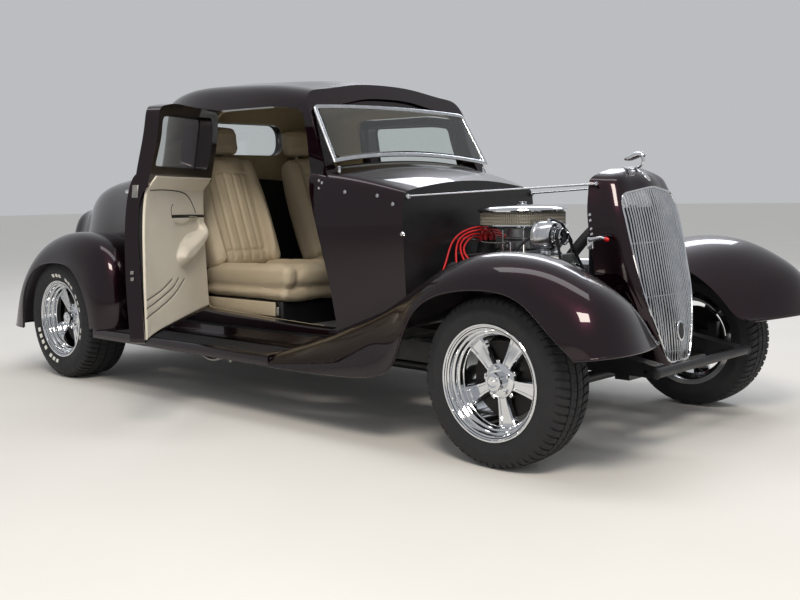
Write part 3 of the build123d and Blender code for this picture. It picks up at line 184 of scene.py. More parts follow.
def tube(path, radius, sides=10, closed=False, squeeze=1.0):
    """Round bar: circles stand square to the path, each with the least turn from the one before."""
    path = np.asarray(path, float)
    run = np.roll(path, -1, 0) - np.roll(path, 1, 0) if closed else np.gradient(path, axis=0)
    tangent = unit(run)
    guess = np.cross(tangent[0], (0.0, 0.0, 1.0))
    if np.linalg.norm(guess) < 0.1:
        guess = np.cross(tangent[0], (0.0, 1.0, 0.0))
    across = np.zeros_like(path)
    for i, ahead in enumerate(tangent):
        guess = unit(guess - ahead * (guess @ ahead))
        across[i] = guess
    other = np.cross(tangent, across)
    turn = np.linspace(0, turn_once, sides, endpoint=False)[None, :, None]
    size = np.broadcast_to(np.asarray(radius, float), len(path))[:, None, None]
    ring = across[:, None] * np.cos(turn) * squeeze + other[:, None] * np.sin(turn)
    return (path[:, None] + ring * size).reshape(-1, 3), ring_faces(len(path), sides, closed)


def lathe(profile, origin=(0, 0, 0), axis=(0, 0, 1), sides=48, closed=False, wave=None):
    """Turned piece: each profile point, a height along the axis and a radius, runs once round the axis.

    A wave gives the radius's share for each side, as on a pleated or knurled wall.
    """
    profile = np.asarray(profile, float)
    turn = np.linspace(0, turn_once, sides, endpoint=False)
    share = np.ones(sides) if wave is None else wave
    x = profile[:, 1:2] * np.cos(turn) * share
    y = profile[:, 1:2] * np.sin(turn) * share
    z = np.broadcast_to(profile[:, 0:1], x.shape)
    points = np.stack([x, y, z], -1).reshape(-1, 3)
    return stood((points, ring_faces(len(profile), sides, closed)), origin, axis)


def between(front, back):
    """Closed sheet between two grids of the same rows and columns, with strips round its border."""
    rows, columns = front.shape[:2]
    points = np.concatenate([front.reshape(-1, 3), back.reshape(-1, 3)])
    face = quads(rows, columns)
    index = np.arange(rows * columns).reshape(rows, columns)
    rim = np.concatenate([index[0, :-1], index[:-1, -1], index[-1, :0:-1], index[:0:-1, 0]])
    ahead = np.roll(rim, -1)
    shift = rows * columns
    border = np.stack([rim, ahead, ahead + shift, rim + shift], 1)
    return points, face.tolist() + (face[:, ::-1] + shift).tolist() + border.tolist()


def thick(grid, depth):
    """Closed sheet: the grid, and a copy moved by the depth along its normals."""
    normal = unit(np.cross(np.gradient(grid, axis=0), np.gradient(grid, axis=1)))
    return between(grid, grid + normal * depth)


def barrel(grid):
    """Closed shape from rings: each row of the grid is a ring, and the first and last are filled flat."""
    return grid.reshape(-1, 3), ring_faces(*grid.shape[:2])


def closed_rings(grid):
    """Closed shape from a grid that runs round both ways."""
    return grid.reshape(-1, 3), ring_faces(*grid.shape[:2], True)


def grown(outline, amount):
    """Flat outline with every edge moved outwards by an amount, corners staying sharp."""
    outline = np.asarray(outline, float)
    ahead = unit(np.roll(outline, -1, 0) - outline)
    area = np.sum(outline[:, 0] * np.roll(outline[:, 1], -1) - outline[:, 1] * np.roll(outline[:, 0], -1))
    normal = np.stack([ahead[:, 1], -ahead[:, 0]], 1) * np.sign(area)
    before = np.roll(normal, 1, 0)
    return outline + amount * (normal + before) / (1 + np.sum(normal * before, 1, keepdims=True))


def rounded(outline, reach, steps=6):
    """Flat outline with turned corners: a curve of second order starts and ends at the reach from each."""
    outline = np.asarray(outline, float)
    before = np.roll(outline, 1, 0) - outline
    after = np.roll(outline, -1, 0) - outline
    limit = 0.45 * np.minimum(np.linalg.norm(before, axis=1), np.linalg.norm(after, axis=1))
    cut = np.minimum(np.broadcast_to(np.asarray(reach, float), len(outline)), limit)[:, None]
    start = outline + unit(before) * cut
    end = outline + unit(after) * cut
    t = np.linspace(0, 1, steps)[None, :, None]
    turned = (1 - t) ** 2 * start[:, None] + 2 * t * (1 - t) * outline[:, None] + t**2 * end[:, None]
    return turned.reshape(-1, 2)


def rectangle(width, height, reach=0.0, steps=5):
    """Rectangle about the origin, with turned corners."""
    w = width / 2
    h = height / 2
    corners = np.array([(w, -h), (w, h), (-w, h), (-w, -h)])
    return rounded(corners, reach, steps) if reach > 0 else corners


def plate(outline, low, high, edge=0.0, steps=4):
    """Closed plate: an outline at a row of heights, drawn in by a quarter circle at both of its edges."""
    if edge > 0:
        turn = np.linspace(0, math.pi / 2, steps)
        drawn = edge * (1 - np.sin(turn))
        climb = edge * (1 - np.cos(turn))
        inset = np.concatenate([drawn, drawn[::-1]])
        height = np.concatenate([low + climb, (high - climb)[::-1]])
    else:
        inset = np.zeros(2)
        height = np.array([low, high])
    rings = []
    for amount, level in zip(inset, height):
        ring = grown(outline, -amount) if amount > 0 else np.asarray(outline, float)
        rings.append(np.column_stack([ring, np.full(len(ring), level)]))
    return barrel(np.array(rings))


def block(centre, size, edge=0.0):
    """Rounded block: a plate with turned corners about its centre."""
    outline = rectangle(size[0], size[1], edge * 1.2)
    shape = plate(outline, -size[2] / 2, size[2] / 2, edge)
    return shape[0] + np.asarray(centre, float), shape[1]


def hexagon(across_flats, height, origin, axis):
    """Nut or bolt head: six flats with its top edge chamfered."""
    turn = np.arange(6) * math.pi / 3
    ring = np.column_stack([np.cos(turn), np.sin(turn)]) * across_flats / math.sqrt(3)
    return stood(plate(ring, 0, height, height * 0.22, 3), origin, axis)


def side_prism(outline, near, far, side):
    """Closed prism with a side-view outline, between two distances from the centre plane."""
    outline = np.asarray(outline, float)
    rings = [
        np.column_stack([outline[:, 0], np.full(len(outline), side * y), outline[:, 1]])
        for y in (near, far)
    ]
    return barrel(np.array(rings))


def raw_object(shape, name="work"):
    """Plain object of a shape, its doubles merged and its faces turned outwards."""
    mesh = bpy.data.meshes.new(name)
    mesh.from_pydata(shape[0].tolist(), [], shape[1])
    work = bmesh.new()
    work.from_mesh(mesh)
    bmesh.ops.remove_doubles(work, verts=work.verts, dist=1e-6)
    bmesh.ops.recalc_face_normals(work, faces=work.faces)
    work.to_mesh(mesh)
    work.free()
    made = bpy.data.objects.new(name, mesh)
    bpy.context.scene.collection.objects.link(made)
    return made


def read_shape(made):
    """Points and faces of an object with its modifiers applied; the object is then taken away."""
    bpy.context.view_layer.update()
    mesh = bpy.data.meshes.new_from_object(made.evaluated_get(bpy.context.evaluated_depsgraph_get()))
    points = np.zeros(len(mesh.vertices) * 3)
    mesh.vertices.foreach_get("co", points)
    corners = np.zeros(len(mesh.loops), np.int64)
    mesh.loops.foreach_get("vertex_index", corners)
    starts = np.zeros(len(mesh.polygons), np.int64)
    mesh.polygons.foreach_get("loop_start", starts)
    faces = [part.tolist() for part in np.split(corners, starts[1:])]
    bpy.data.objects.remove(made)
    bpy.data.meshes.remove(mesh)
    return points.reshape(-1, 3), faces


def carved(shape, *steps):
    """Closed shape after a row of steps, each DIFFERENCE, INTERSECT or UNION with another closed shape."""
    target = raw_object(shape)
    tools = []
    for operation, cutter in steps:
        tool = raw_object(cutter)
        modifier = target.modifiers.new("step", "BOOLEAN")
        modifier.operation = operation
        modifier.solver = "MANIFOLD"
        modifier.object = tool
        tools.append(tool)
    result = read_shape(target)
    for tool in tools:
        bpy.data.objects.remove(tool)
    return result


def piece(name, shape, body, material, replaces=(), angle=38):
    """Named piece: its mesh, smooth but for edges past an angle, its finish, and the body it rides on."""
    made = raw_object(shape, name)
    mesh = made.data
    mesh.polygons.foreach_set("use_smooth", np.ones(len(mesh.polygons), bool))
    mesh.set_sharp_from_angle(angle=math.radians(angle))
    mesh.materials.append(material)
    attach(made, body)
    if replaces:
        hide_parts(*replaces)
    return made


def swung(shape, side):
    """Door piece turned about its hinge line, from shut to where the door of that side stands."""
    turn = 0 if side > 0 else -math.radians(door_swing)
    spin = np.array([[math.cos(turn), -math.sin(turn), 0], [math.sin(turn), math.cos(turn), 0], [0, 0, 1]])
    hinge = np.array([hinge_x, side * hinge_y, 0])
    return (shape[0] - hinge) @ spin.T + hinge, shape[1]


def colour(text):
    """Linear colour of an sRGB hex value."""
    share = np.array([int(text[i:i + 2], 16) for i in (1, 3, 5)]) / 255
    linear = np.where(share <= 0.04045, share / 12.92, ((share + 0.055) / 1.055) ** 2.4)
    return (*linear.tolist(), 1.0)


def add_node(tree, kind, inputs=None, **settings):
    """Adds one node: settings are its own properties, inputs are values or other nodes' outputs."""
    made = tree.nodes.new("ShaderNode" + kind)
    for key, value in settings.items():
        setattr(made, key, value)
    for key, value in (inputs or {}).items():
        if isinstance(value, bpy.types.NodeSocket):
            tree.links.new(value, made.inputs[key])
        else:
            made.inputs[key].default_value = value
    return made


def new_finish(name, base, roughness, metallic=0.0, **sockets):
    """Empty finish: a surface shader with its plain values, and the piece's own coordinates in metres."""
    material = bpy.data.materials.new(name)
    material.use_nodes = True
    tree = material.node_tree
    shader = tree.nodes["Principled BSDF"]
    shader.inputs["Base Color"].default_value = colour(base)
    shader.inputs["Roughness"].default_value = roughness
    shader.inputs["Metallic"].default_value = metallic
    for key, value in sockets.items():
        shader.inputs[key.replace("_", " ")].default_value = value
    place = add_node(tree, "TexCoord").outputs["Object"]
    return material, tree, shader, place


def specks(tree, place, size, detail):
    """Noise between 0 and 1, its patches of a size in metres."""
    return add_node(tree, "TexNoise", {"Vector": place, "Scale": 1 / size, "Detail": detail}).outputs["Fac"]


def mixed(tree, shader, share, low, high):
    """Base colour between two, by a share."""
    mix = add_node(tree, "Mix", {0: share, 6: colour(low), 7: colour(high)}, data_type="RGBA")
    tree.links.new(mix.outputs[2], shader.inputs["Base Color"])


def spread(tree, shader, share, low, high, start=0.3, end=0.7):
    """Roughness from low to high, while a share runs from start to end."""
    span = add_node(tree, "MapRange", {0: share, 1: start, 2: end, 3: low, 4: high})
    tree.links.new(span.outputs[0], shader.inputs["Roughness"])


def mottle(tree, shader, place, size, low, high, roughness):
    """Soft patches of a size in metres between two colours, and between two roughnesses."""
    patches = specks(tree, place, size, 3.0)
    mixed(tree, shader, patches, low, high)
    spread(tree, shader, patches, *roughness)


def relief(tree, shader, height, depth, strength=1.0, socket="Normal"):
    """Bump of a depth in metres from a height between 0 and 1."""
    bump = add_node(tree, "Bump", {"Height": height, "Distance": depth, "Strength": strength})
    tree.links.new(bump.outputs["Normal"], shader.inputs[socket])


def make_plain(name, low, high, size, roughness, metallic=0.0, depth=0.0, grain=0.0):
    """Finish with patches of a size, and where a depth is given a bump of a finer grain, all in metres."""
    material, tree, shader, place = new_finish(name, low, roughness[0], metallic)
    mottle(tree, shader, place, size, low, high, roughness)
    if depth:
        relief(tree, shader, specks(tree, place, grain, 2.0), depth)
    return material


def make_paint():
    """Black cherry lacquer: a dark red flake coat under clear, so that lights glow wine red on near black."""
    material, tree, shader, place = new_finish(
        "black_cherry_lacquer", "#1B0612", 0.34, 0.96, Coat_Weight=0.8, Coat_Roughness=0.025
    )
    flake = add_node(tree, "TexVoronoi", {"Vector": place, "Scale": 1 / 0.0022})
    mixed(tree, shader, flake.outputs["Color"], "#0D0307", "#250716")
    relief(tree, shader, specks(tree, place, 0.012, 1.0), 0.00003, 0.5, "Coat Normal")
    return material


def make_chrome():
    """Plated chrome: near mirror, with faint wiping marks in its gloss."""
    material, tree, shader, place = new_finish("plated_chrome", "#D9DBDE", 0.06, 1.0)
    spread(tree, shader, specks(tree, place, 0.05, 4.0), 0.035, 0.11, 0.35)
    return material


def make_leather(name, low, high):
    """Pigmented leather: pebbled cells of 2.8 mm, drawn a little coarse, over slow changes of colour."""
    material, tree, shader, place = new_finish(name, low, 0.5, 0.0)
    mottle(tree, shader, place, 0.09, low, high, (0.42, 0.58))
    cell = add_node(
        tree, "TexVoronoi", {"Vector": place, "Scale": 1 / 0.0028, "Randomness": 1.0},
        feature="DISTANCE_TO_EDGE",
    )
    span = add_node(tree, "MapRange", {0: cell.outputs["Distance"], 1: 0.0, 2: 0.18})
    height = add_node(tree, "Math", {0: span.outputs[0], 1: specks(tree, place, 0.03, 3.0)}, operation="ADD")
    relief(tree, shader, height.outputs[0], 0.0005, 0.55)
    return material


# Length of one wave, in metres, of the wave texture at scale 1
wave_length = 0.314


def make_cloth(name, low, high, pitch):
    """Woven cloth: two crossed waves at the thread pitch, in metres, with sheen from loose fibres."""
    material, tree, shader, place = new_finish(name, low, 0.9, 0.0, Sheen_Weight=0.25)
    mottle(tree, shader, place, 0.05, low, high, (0.85, 0.95))
    threads = [
        add_node(
            tree, "TexWave", {"Vector": place, "Scale": wave_length / pitch, "Distortion": 0.6},
            bands_direction=axis,
        ).outputs["Fac"]
        for axis in ("X", "Z")
    ]
    height = add_node(tree, "Math", {0: threads[0], 1: threads[1]}, operation="MULTIPLY")
    relief(tree, shader, height.outputs[0], 0.0006, 0.6)
    return material


def make_glass():
    """Flat laminated glass with a faint tint: clear and lightly wiped."""
    material, tree, shader, place = new_finish(
        "laminated_glass", "#F2F7F5", 0.0, Transmission_Weight=1.0, IOR=1.5
    )
    spread(tree, shader, specks(tree, place, 0.2, 2.0), 0.0, 0.03, 0.0, 1.0)
    return material


def make_lens():
    """Moulded red acrylic with fine rings moulded into its back."""
    material, tree, shader, place = new_finish(
        "red_acrylic_lens", "#B30A12", 0.12, 0.0, Transmission_Weight=0.45, IOR=1.49, Coat_Weight=0.6
    )
    rings = add_node(tree, "TexWave", {"Vector": place, "Scale": wave_length / 0.006}, bands_direction="Z")
    relief(tree, shader, rings.outputs["Fac"], 0.0006)
    return material


def make_tyre():
    """Tyre rubber: matt black with a grey bloom and a fine moulded grain."""
    material, tree, shader, place = new_finish("tyre_rubber", "#17171A", 0.78)
    mottle(tree, shader, place, 0.03, "#131315", "#232326", (0.66, 0.86))
    relief(tree, shader, specks(tree, place, 0.0016, 2.0), 0.00025, 0.7)
    return material


paint = make_paint()
chrome = make_chrome()
# Buffed aluminium: bright, with a soft directionless haze from the wheel
polished = make_plain("buffed_aluminium", "#B9BCC0", "#D3D5D8", 0.05, (0.16, 0.3), 1.0)
# Sand-cast aluminium: grey and grainy, where the casting was left raw
cast_alloy = make_plain("sand_cast_aluminium", "#8E9092", "#A9ABAD", 0.02, (0.42, 0.55), 1.0, 0.0003, 0.0018)
# Enamelled cast iron: black engine enamel over a coarse skin
iron = make_plain("enamelled_cast_iron", "#101012", "#1C1C1F", 0.03, (0.34, 0.5), 0.0, 0.0005, 0.003)
# Chassis enamel: satin black, brushed on pressed steel
satin = make_plain("satin_chassis_enamel", "#0D0D0F", "#17171A", 0.06, (0.32, 0.46), 0.0, 0.0001, 0.004)
# Moulded plastic and rubber trim: charcoal, finely pebbled
trim_black = make_plain("moulded_black_trim", "#141416", "#1E1E21", 0.02, (0.5, 0.64), 0.0, 0.0002, 0.0015)
# Brushed zinc plate on brackets, nuts and brake parts: grey with faint yellow patches
zinc = make_plain("zinc_plated_steel", "#8B8A86", "#A8A69E", 0.015, (0.3, 0.42), 1.0)
# Ground brake steel: dark grey, dulled by road dust
brake_steel = make_plain("ground_brake_steel", "#2B2A2C", "#3A3836", 0.01, (0.42, 0.58), 1.0)
# Oiled filter paper in its pleats: its own pale tone is darkened to grey as painted shade, and it is matt
filter_paper = make_plain("pleated_filter_paper", "#8E887A", "#A8A294", 0.01, (0.7, 0.85), 0.0)
# Silicone lead jackets: saturated red, with a soft gloss
lead_red = make_plain("silicone_lead_jacket", "#B10F14", "#CE1A1C", 0.01, (0.34, 0.42))
# Raised white rubber on the rear tyres
white_rubber = make_plain("white_rubber", "#CFCDC6", "#E1DFD8", 0.02, (0.6, 0.7))
# Ivory vinyl over the door trims' boards, softly grained
ivory = make_leather("ivory_vinyl", "#E0D7C4", "#ECE4D4")
# Tan leather on the seats, the dashboard and the steering wheel's rim
tan = make_leather("tan_leather", "#B3A48A", "#C4B69D")
# Woven cloth inside the roof, and loop carpet on the floor and bulkhead
headliner = make_cloth("tan_headliner_cloth", "#A39373", "#B3A484", 0.003)
carpet = make_cloth("black_loop_carpet", "#0F0F11", "#1B1A1C", 0.006)
clear_glass = make_glass()
red_lens = make_lens()
tyre_rubber = make_tyre()

# Heights, depths and thicknesses of the body, in metres, and the right door's swing in degrees
floor_z = 0.356
hinge_x = -0.480
hinge_y = 0.664
door_swing = 57
wall = 0.060
tail_wall = 0.100
lining = 0.008
panel_gap = 0.005
firewall_back = 0.700
firewall_front = 0.735
door_near = 0.3
door_far = 0.8
lid_low = 0.64
lid_high = 1.3

# Lower body sections from tail to firewall.
# Columns: x; half-widths at floor, side, belt, crown edge; heights of floor, side, belt, crown edge, top.
body_table = metres((
    (-2215, 210, 225, 200, 110, 520, 590, 650, 715, 760),
    (-2150, 300, 335, 300, 180, 480, 590, 680, 800, 850),
    (-2000, 370, 430, 390, 250, 440, 620, 760, 905, 960),
    (-1700, 440, 505, 480, 330, 430, 640, 860, 1000, 1045),
    (-1300, 520, 566, 555, 430, 420, 660, 960, 1062, 1100),
    (-850, 585, 635, 622, 530, 356, 680, 1025, 1090, 1122),
    (-325, 612, 648, 636, 555, 356, 690, 1030, 1088, 1116),
    (0, 600, 630, 618, 535, 356, 690, 1022, 1080, 1112),
    (380, 555, 575, 560, 470, 356, 690, 1000, 1066, 1100),
    (740, 425, 445, 440, 395, 400, 690, 940, 975, 1011),
))

# Cabin top sections from the back panel to the windscreen.
# Columns: x; half-widths at belt, drip rail, crown edge; heights of drip rail, crown edge, top.
cabin_table = metres((
    (-935, 500, 395, 300, 1330, 1395, 1415),
    (-905, 545, 455, 350, 1360, 1440, 1465),
    (-840, 585, 500, 385, 1385, 1475, 1508),
    (-700, 606, 528, 410, 1398, 1492, 1532),
    (-325, 618, 545, 425, 1400, 1486, 1524),
    (0, 604, 535, 418, 1388, 1462, 1500),
    (250, 572, 515, 405, 1366, 1420, 1456),
    (460, 536, 495, 392, 1340, 1375, 1405),
))
cabin_base_z = 0.970
turn_share = math.sin(math.radians(45))


def body_net(table, inset):
    """Net of the lower body: each station's half goes floor, side, belt, shoulder, crown edge and top."""
    x, floor_w, side_w, belt_w, crown_w, low, side_h, belt_h, crown_h, top = table.T
    drop = 0.04 if inset > 0 else 0.0
    belt_z = belt_h - 0.4 * inset
    turn_w = crown_w + (belt_w - crown_w) * turn_share
    turn_z = crown_h - inset + (belt_z - crown_h + inset) * (1 - turn_share)
    half_w = [floor_w - inset, side_w - inset, belt_w - inset, turn_w - inset, crown_w - inset]
    half_z = [low - drop, side_h, belt_z, turn_z, crown_h - inset]
    mid_w = (crown_w - inset) * 0.5
    mid_z = (top - inset) - 0.25 * (top - crown_h)
    width = np.stack([*half_w, mid_w, 0 * x, -mid_w, *[-w for w in half_w[::-1]]], 1)
    height = np.stack([*half_z, mid_z, top - inset, mid_z, *half_z[::-1]], 1)
    return np.stack([np.broadcast_to(x[:, None], width.shape), width, height], -1)


def cabin_net(table, inset):
    """Net of the cabin top: straight leaning sides to the drip rail, a quarter turn, and a crowned roof."""
    x, belt_w, drip_w, crown_w, drip_h, crown_h, top = table.T
    drip_z = drip_h - 0.4 * inset
    crown_z = crown_h - inset
    turn_w = crown_w + (drip_w - crown_w) * turn_share - inset
    turn_z = drip_z + (crown_z - drip_z) * turn_share
    half_w = [belt_w - inset]
    half_z = [np.full(len(x), cabin_base_z)]
    for share in (0.35, 0.7, 1.0):
        half_w.append(belt_w + (drip_w - belt_w) * share - inset)
        half_z.append(cabin_base_z + (drip_z - cabin_base_z) * share)
    half_w += [turn_w, crown_w - inset, (crown_w - inset) * 0.5]
    half_z += [turn_z, crown_z, top - inset - 0.25 * (top - crown_h)]
    width = np.stack([*half_w, 0 * x, *[-w for w in half_w[::-1]]], 1)
    height = np.stack([*half_z, top - inset, *half_z[::-1]], 1)
    return np.stack([np.broadcast_to(x[:, None], width.shape), width, height], -1)


def station_surface(net, stations, columns):
    """Smooth surface through a net whose rows stand at stations along the car."""
    return net_surface(net, net[:, 0, 0], stations, columns)


def rolled_end(grid, radius, rows):
    """Grid with rings before its first, drawn towards the middle as a quarter circle: a round end."""
    first = grid[0]
    middle = first.mean(0) * (1, 0, 1)
    turn = np.linspace(0, math.pi / 2, rows + 1)[1:, None, None]
    reach = np.abs(first - middle).max(0)
    share = 1 - radius * (1 - np.cos(turn)) / np.maximum(reach, radius)
    rings = middle + (first - middle) * share
    rings[..., 0] = first[:, 0] - radius * np.sin(turn[..., 0])
    return np.concatenate([rings[::-1], grid])


tail_roll = 0.030


def inner_rows():
    """Stations of the space inside: the rear one is further in, and the last stands at the firewall."""
    rows = body_table[1:].copy()
    rows[0, 0] = body_table[0, 0] + tail_wall
    rows[-1, 0] = firewall_back
    return rows


def lower_body(inset):
    """Closed form of the lower body, whole or set in from it."""
    if inset == 0:
        table = body_table.copy()
        table[0, 0] += tail_roll
        stations = np.concatenate([
            np.linspace(table[0, 0], -2.0, 24, endpoint=False), np.linspace(-2.0, 0.74, 120)
        ])
        grid = rolled_end(station_surface(body_net(table, 0), stations, 121), tail_roll, 6)
        grid[..., 2] = np.maximum(grid[..., 2], floor_z)
    else:
        table = inner_rows()
        stations = np.linspace(table[0, 0], table[-1, 0], 110)
        grid = station_surface(body_net(table, inset), stations, 101)
    return barrel(grid)


def cabin_top(inset):
    """Closed form of the cabin above the belt, cut off along the windscreen's slope."""
    if inset == 0:
        table = cabin_table
        stations = np.concatenate([
            np.linspace(-0.935, -0.80, 22, endpoint=False), np.linspace(-0.80, 0.46, 76),
        ])
    else:
        table = cabin_table[1:].copy()
        table[0, 0] = cabin_table[0, 0] + inset
        stations = np.linspace(table[0, 0], 0.46, 80)
    return carved(
        barrel(station_surface(cabin_net(table, inset), stations, 101)), ("DIFFERENCE", front_block(inset)),
    )


screen_top_x = 0.246
screen_top_z = 1.356
screen_tan = math.tan(math.radians(24))


def front_block(inset):
    """Block ahead of the windscreen's slope. The spaces inside reach a little further on than the skin."""
    foot = screen_top_x + (screen_top_z - 0.9) * screen_tan + inset * 0.1
    return side_prism(((foot, 0.9), (foot - 0.7 * screen_tan, 1.6), (0.9, 1.6), (0.9, 0.9)), -0.7, 0.7, 1)


# Door and window outlines seen from the side: x and height.
door_outline = rounded(
    metres((
        (-476, 425), (-476, 1332), (-436, 1364), (58, 1356), (224, 1330), (269, 1153), (359, 811),
        (405, 600), (432, 380),
    )),
    metres((30, 20, 20, 60, 40, 0.1, 60, 60, 30)),
)
window_outline = rounded(
    metres(((-420, 1085), (-420, 1322), (50, 1308), (178, 1286), (232, 1085))), metres((28, 40, 60, 34, 28))
)
rear_window = placed(
    plate(rectangle(0.524, 0.170, 0.078, 10), 0, 0.4), (-1.1, 0, 1.268), (0, 1, 0), (0, 0, 1)
)
bell_arch = placed(plate(ellipse(0.155, 0.155, 64), 0.447, 0.76), (0, 0, 0.370), (0, 1, 0), (0, 0, 1))

body_form = carved(lower_body(0), ("UNION", cabin_top(0)))
space_form = carved(lower_body(wall), ("UNION", cabin_top(wall)))
lined_form = carved(lower_body(wall + lining), ("UNION", cabin_top(wall + lining)))
closed_shell = carved(body_form, ("DIFFERENCE", space_form))
skin_form = carved(space_form, ("DIFFERENCE", lined_form))

# Deck lid: its plan outline, and the side view whose rear edge leans so that it lifts clear
lid_lean = math.tan(math.radians(18))
lid_plan = metres(((-1010, 335), (-1060, 366), (-1150, 370), (-1400, 345), (-1800, 272), (-2140, 190)))
lid_outline = np.concatenate([lid_plan, (lid_plan * (1, -1))[::-1]])
lid_rear_x = -2.080
lid_rear_z = 0.905
lid_side = np.array((
    (-0.9, lid_low), (-0.9, lid_high),
    (lid_rear_x - (lid_high - lid_rear_z) * lid_lean, lid_high),
    (lid_rear_x + (lid_rear_z - lid_low) * lid_lean, lid_low),
))


def lid_form(grow):
    """Closed wedge that cuts the lid out of the tail: a plan outline met with a side outline."""
    turned = rounded(grown(lid_outline, grow), 0.03, 6)
    return carved(
        plate(turned, lid_low, lid_high), ("INTERSECT", side_prism(grown(lid_side, grow), -0.6, 0.6, 1)),
    )


def lid_hinge(side, direction):
    """Deck lid hinge eye with its strap: direction 1 is the lid's, outer, and -1 the tail's, inner."""
    y = side * (0.210 + direction * 0.01415)
    eye = lathe(((-0.014, 0.009), (0.014, 0.009)), (-1.007, y, 1.131), (0, 1, 0), 20)
    return joined([eye, block((-1.007 - direction * 0.018, y, 1.113), (0.024, 0.028, 0.036), 0.002)])


def door_hinge(side, height, direction):
    """Door hinge eye with its strap: direction 1 is the door's, above, and -1 the pillar's, below."""
    z = height + direction * 0.01315
    eye = lathe(
        ((-0.013, 0.006), (-0.0115, 0.009), (0.0115, 0.009), (0.013, 0.006)), (hinge_x, side * hinge_y, z),
        (0, 0, 1), 20,
    )
    strap = block((hinge_x + direction * 0.018, side * 0.646, z), (0.024, 0.036, 0.026), 0.002)
    return joined([eye, strap])


hinge_heights = (0.520, 0.800, 1.010)
door_cuts = [side_prism(door_outline, door_near, door_far, side) for side in (1, -1)]
body_shell = carved(
    closed_shell,
    *[("DIFFERENCE", cut) for cut in door_cuts],
    ("DIFFERENCE", rear_window),
    ("DIFFERENCE", lid_form(panel_gap)),
    ("DIFFERENCE", bell_arch),
)
# The firewall's front is satin, the rest is painted
shell_piece = piece("body_shell", body_shell, "car", paint, ("cowl", "cab", "tail"), 32)
shell_piece.data.materials.append(satin)
for face in shell_piece.data.polygons:
    if face.center.x > firewall_front and face.normal.x > 0.9:
        face.material_index = 1
piece(
    "body_hinges",
    joined(
        [door_hinge(side, z, -1) for side in (1, -1) for z in hinge_heights]
        + [lid_hinge(s, -1) for s in (1, -1)]
    ),
    "car", paint,
)
lid_shell = carved(closed_shell, ("INTERSECT", lid_form(0)))
piece("deck_lid_skin", lid_shell, "deck_lid", paint, ("deck_lid",), 32)
piece("deck_lid_hinges", joined([lid_hinge(side, 1) for side in (1, -1)]), "deck_lid", paint)
for word, side in both_sides:
    shut = carved(
        closed_shell,
        ("INTERSECT", side_prism(grown(door_outline, -panel_gap), door_near, door_far, side)),
        ("DIFFERENCE", side_prism(window_outline, door_near, door_far, side)),
    )
    door = joined([shut] + [door_hinge(side, z, 1) for z in hinge_heights])
    piece(
        f"door_skin_{word}", swung(door, side), f"door_{word}", paint,
        (f"door_{word}",), 32,
    )

# Front fender stations: crown x, z; lip x, z; half-widths at lip, crown, inner edge; inner depth.
front_fender_table = metres((
    (334, 306, 334, 252, 852, 720, 606, -37),
    (486, 352, 496, 254, 854, 721, 528, -12),
    (638, 399, 660, 258, 856, 722, 450, 12),
    (753, 443, 800, 264, 858, 722, 426, 37),
    (868, 489, 925, 276, 860, 722, 405, 60),
    (955, 532, 1022, 304, 860, 722, 391, 80),
    (1050, 585, 1084, 372, 861, 722, 376, 96),
    (1160, 648, 1134, 484, 862, 722, 360, 105),
    (1330, 724, 1262, 596, 862, 720, 345, 105),
    (1500, 750, 1470, 633, 862, 720, 340, 98),
    (1660, 728, 1640, 606, 862, 718, 340, 130),
    (1810, 665, 1760, 512, 862, 712, 340, 170),
    (1925, 570, 1830, 455, 860, 700, 345, 165),
    (1972, 445, 1850, 430, 850, 690, 370, 100),
))
# Rear fender stations with the same columns.
rear_fender_table = metres((
    (-940, 300, -1086, 300, 866, 745, 606, 12),
    (-948, 530, -1098, 400, 870, 748, 575, 20),
    (-1030, 700, -1157, 521, 872, 750, 570, 25),
    (-1180, 768, -1252, 604, 874, 750, 545, 30),
    (-1390, 778, -1410, 628, 874, 750, 510, 30),
    (-1590, 728, -1580, 606, 874, 748, 475, 30),
    (-1780, 600, -1718, 520, 872, 745, 445, 35),
    (-1935, 430, -1796, 400, 868, 740, 400, 40),
    (-2050, 250, -1826, 250, 862, 735, 380, 50),
))
fender_gauge = 0.004
lip_radius = 0.0055
welt_radius = 0.005
# Rearmost station at which a fender is met with the body's side
welt_end = -2.15


def fender_grid(table, rows=130, columns=56):
    """Fender skin: at each station a quarter ellipse rises from lip to crown, then a cubic falls to the body.

    The cubic leaves the crown level: the fall is the depth times 1.4 share squared less 0.4 share cubed.
    """
    crown_x, crown_z, lip_x, lip_z, lip_y, crown_y, inner_y, depth = [c[:, None] for c in table.T]
    down = np.stack([lip_x - crown_x, 0 * lip_x, lip_z - crown_z], -1)
    drop = np.linalg.norm(down, axis=-1)
    rise = -unit(down)
    turn = np.linspace(0, math.pi / 2, 6)
    share = np.linspace(0, 1, 5)[1:]
    out = np.concatenate([(lip_y - crown_y) * np.cos(turn), -(crown_y - inner_y) * share], 1)
    height = np.concatenate([-drop * (1 - np.sin(turn)), -depth * (1.4 * share**2 - 0.4 * share**3)], 1)
    crown = np.stack([crown_x, crown_y, crown_z], -1)
    net = crown + out[..., None] * (0, 1, 0) + height[..., None] * rise
    return net_surface(net, chord_keys(net), np.linspace(0, 1, rows), columns)


def section_at(x):
    """Half section of the lower body at one station: widths for rising heights."""
    ring = station_surface(body_net(body_table, 0), np.array([x]), 121)[0]
    half = ring[:61]
    widest = np.argmax(half[:, 2])
    return half[:widest + 1, 1], half[:widest + 1, 2]


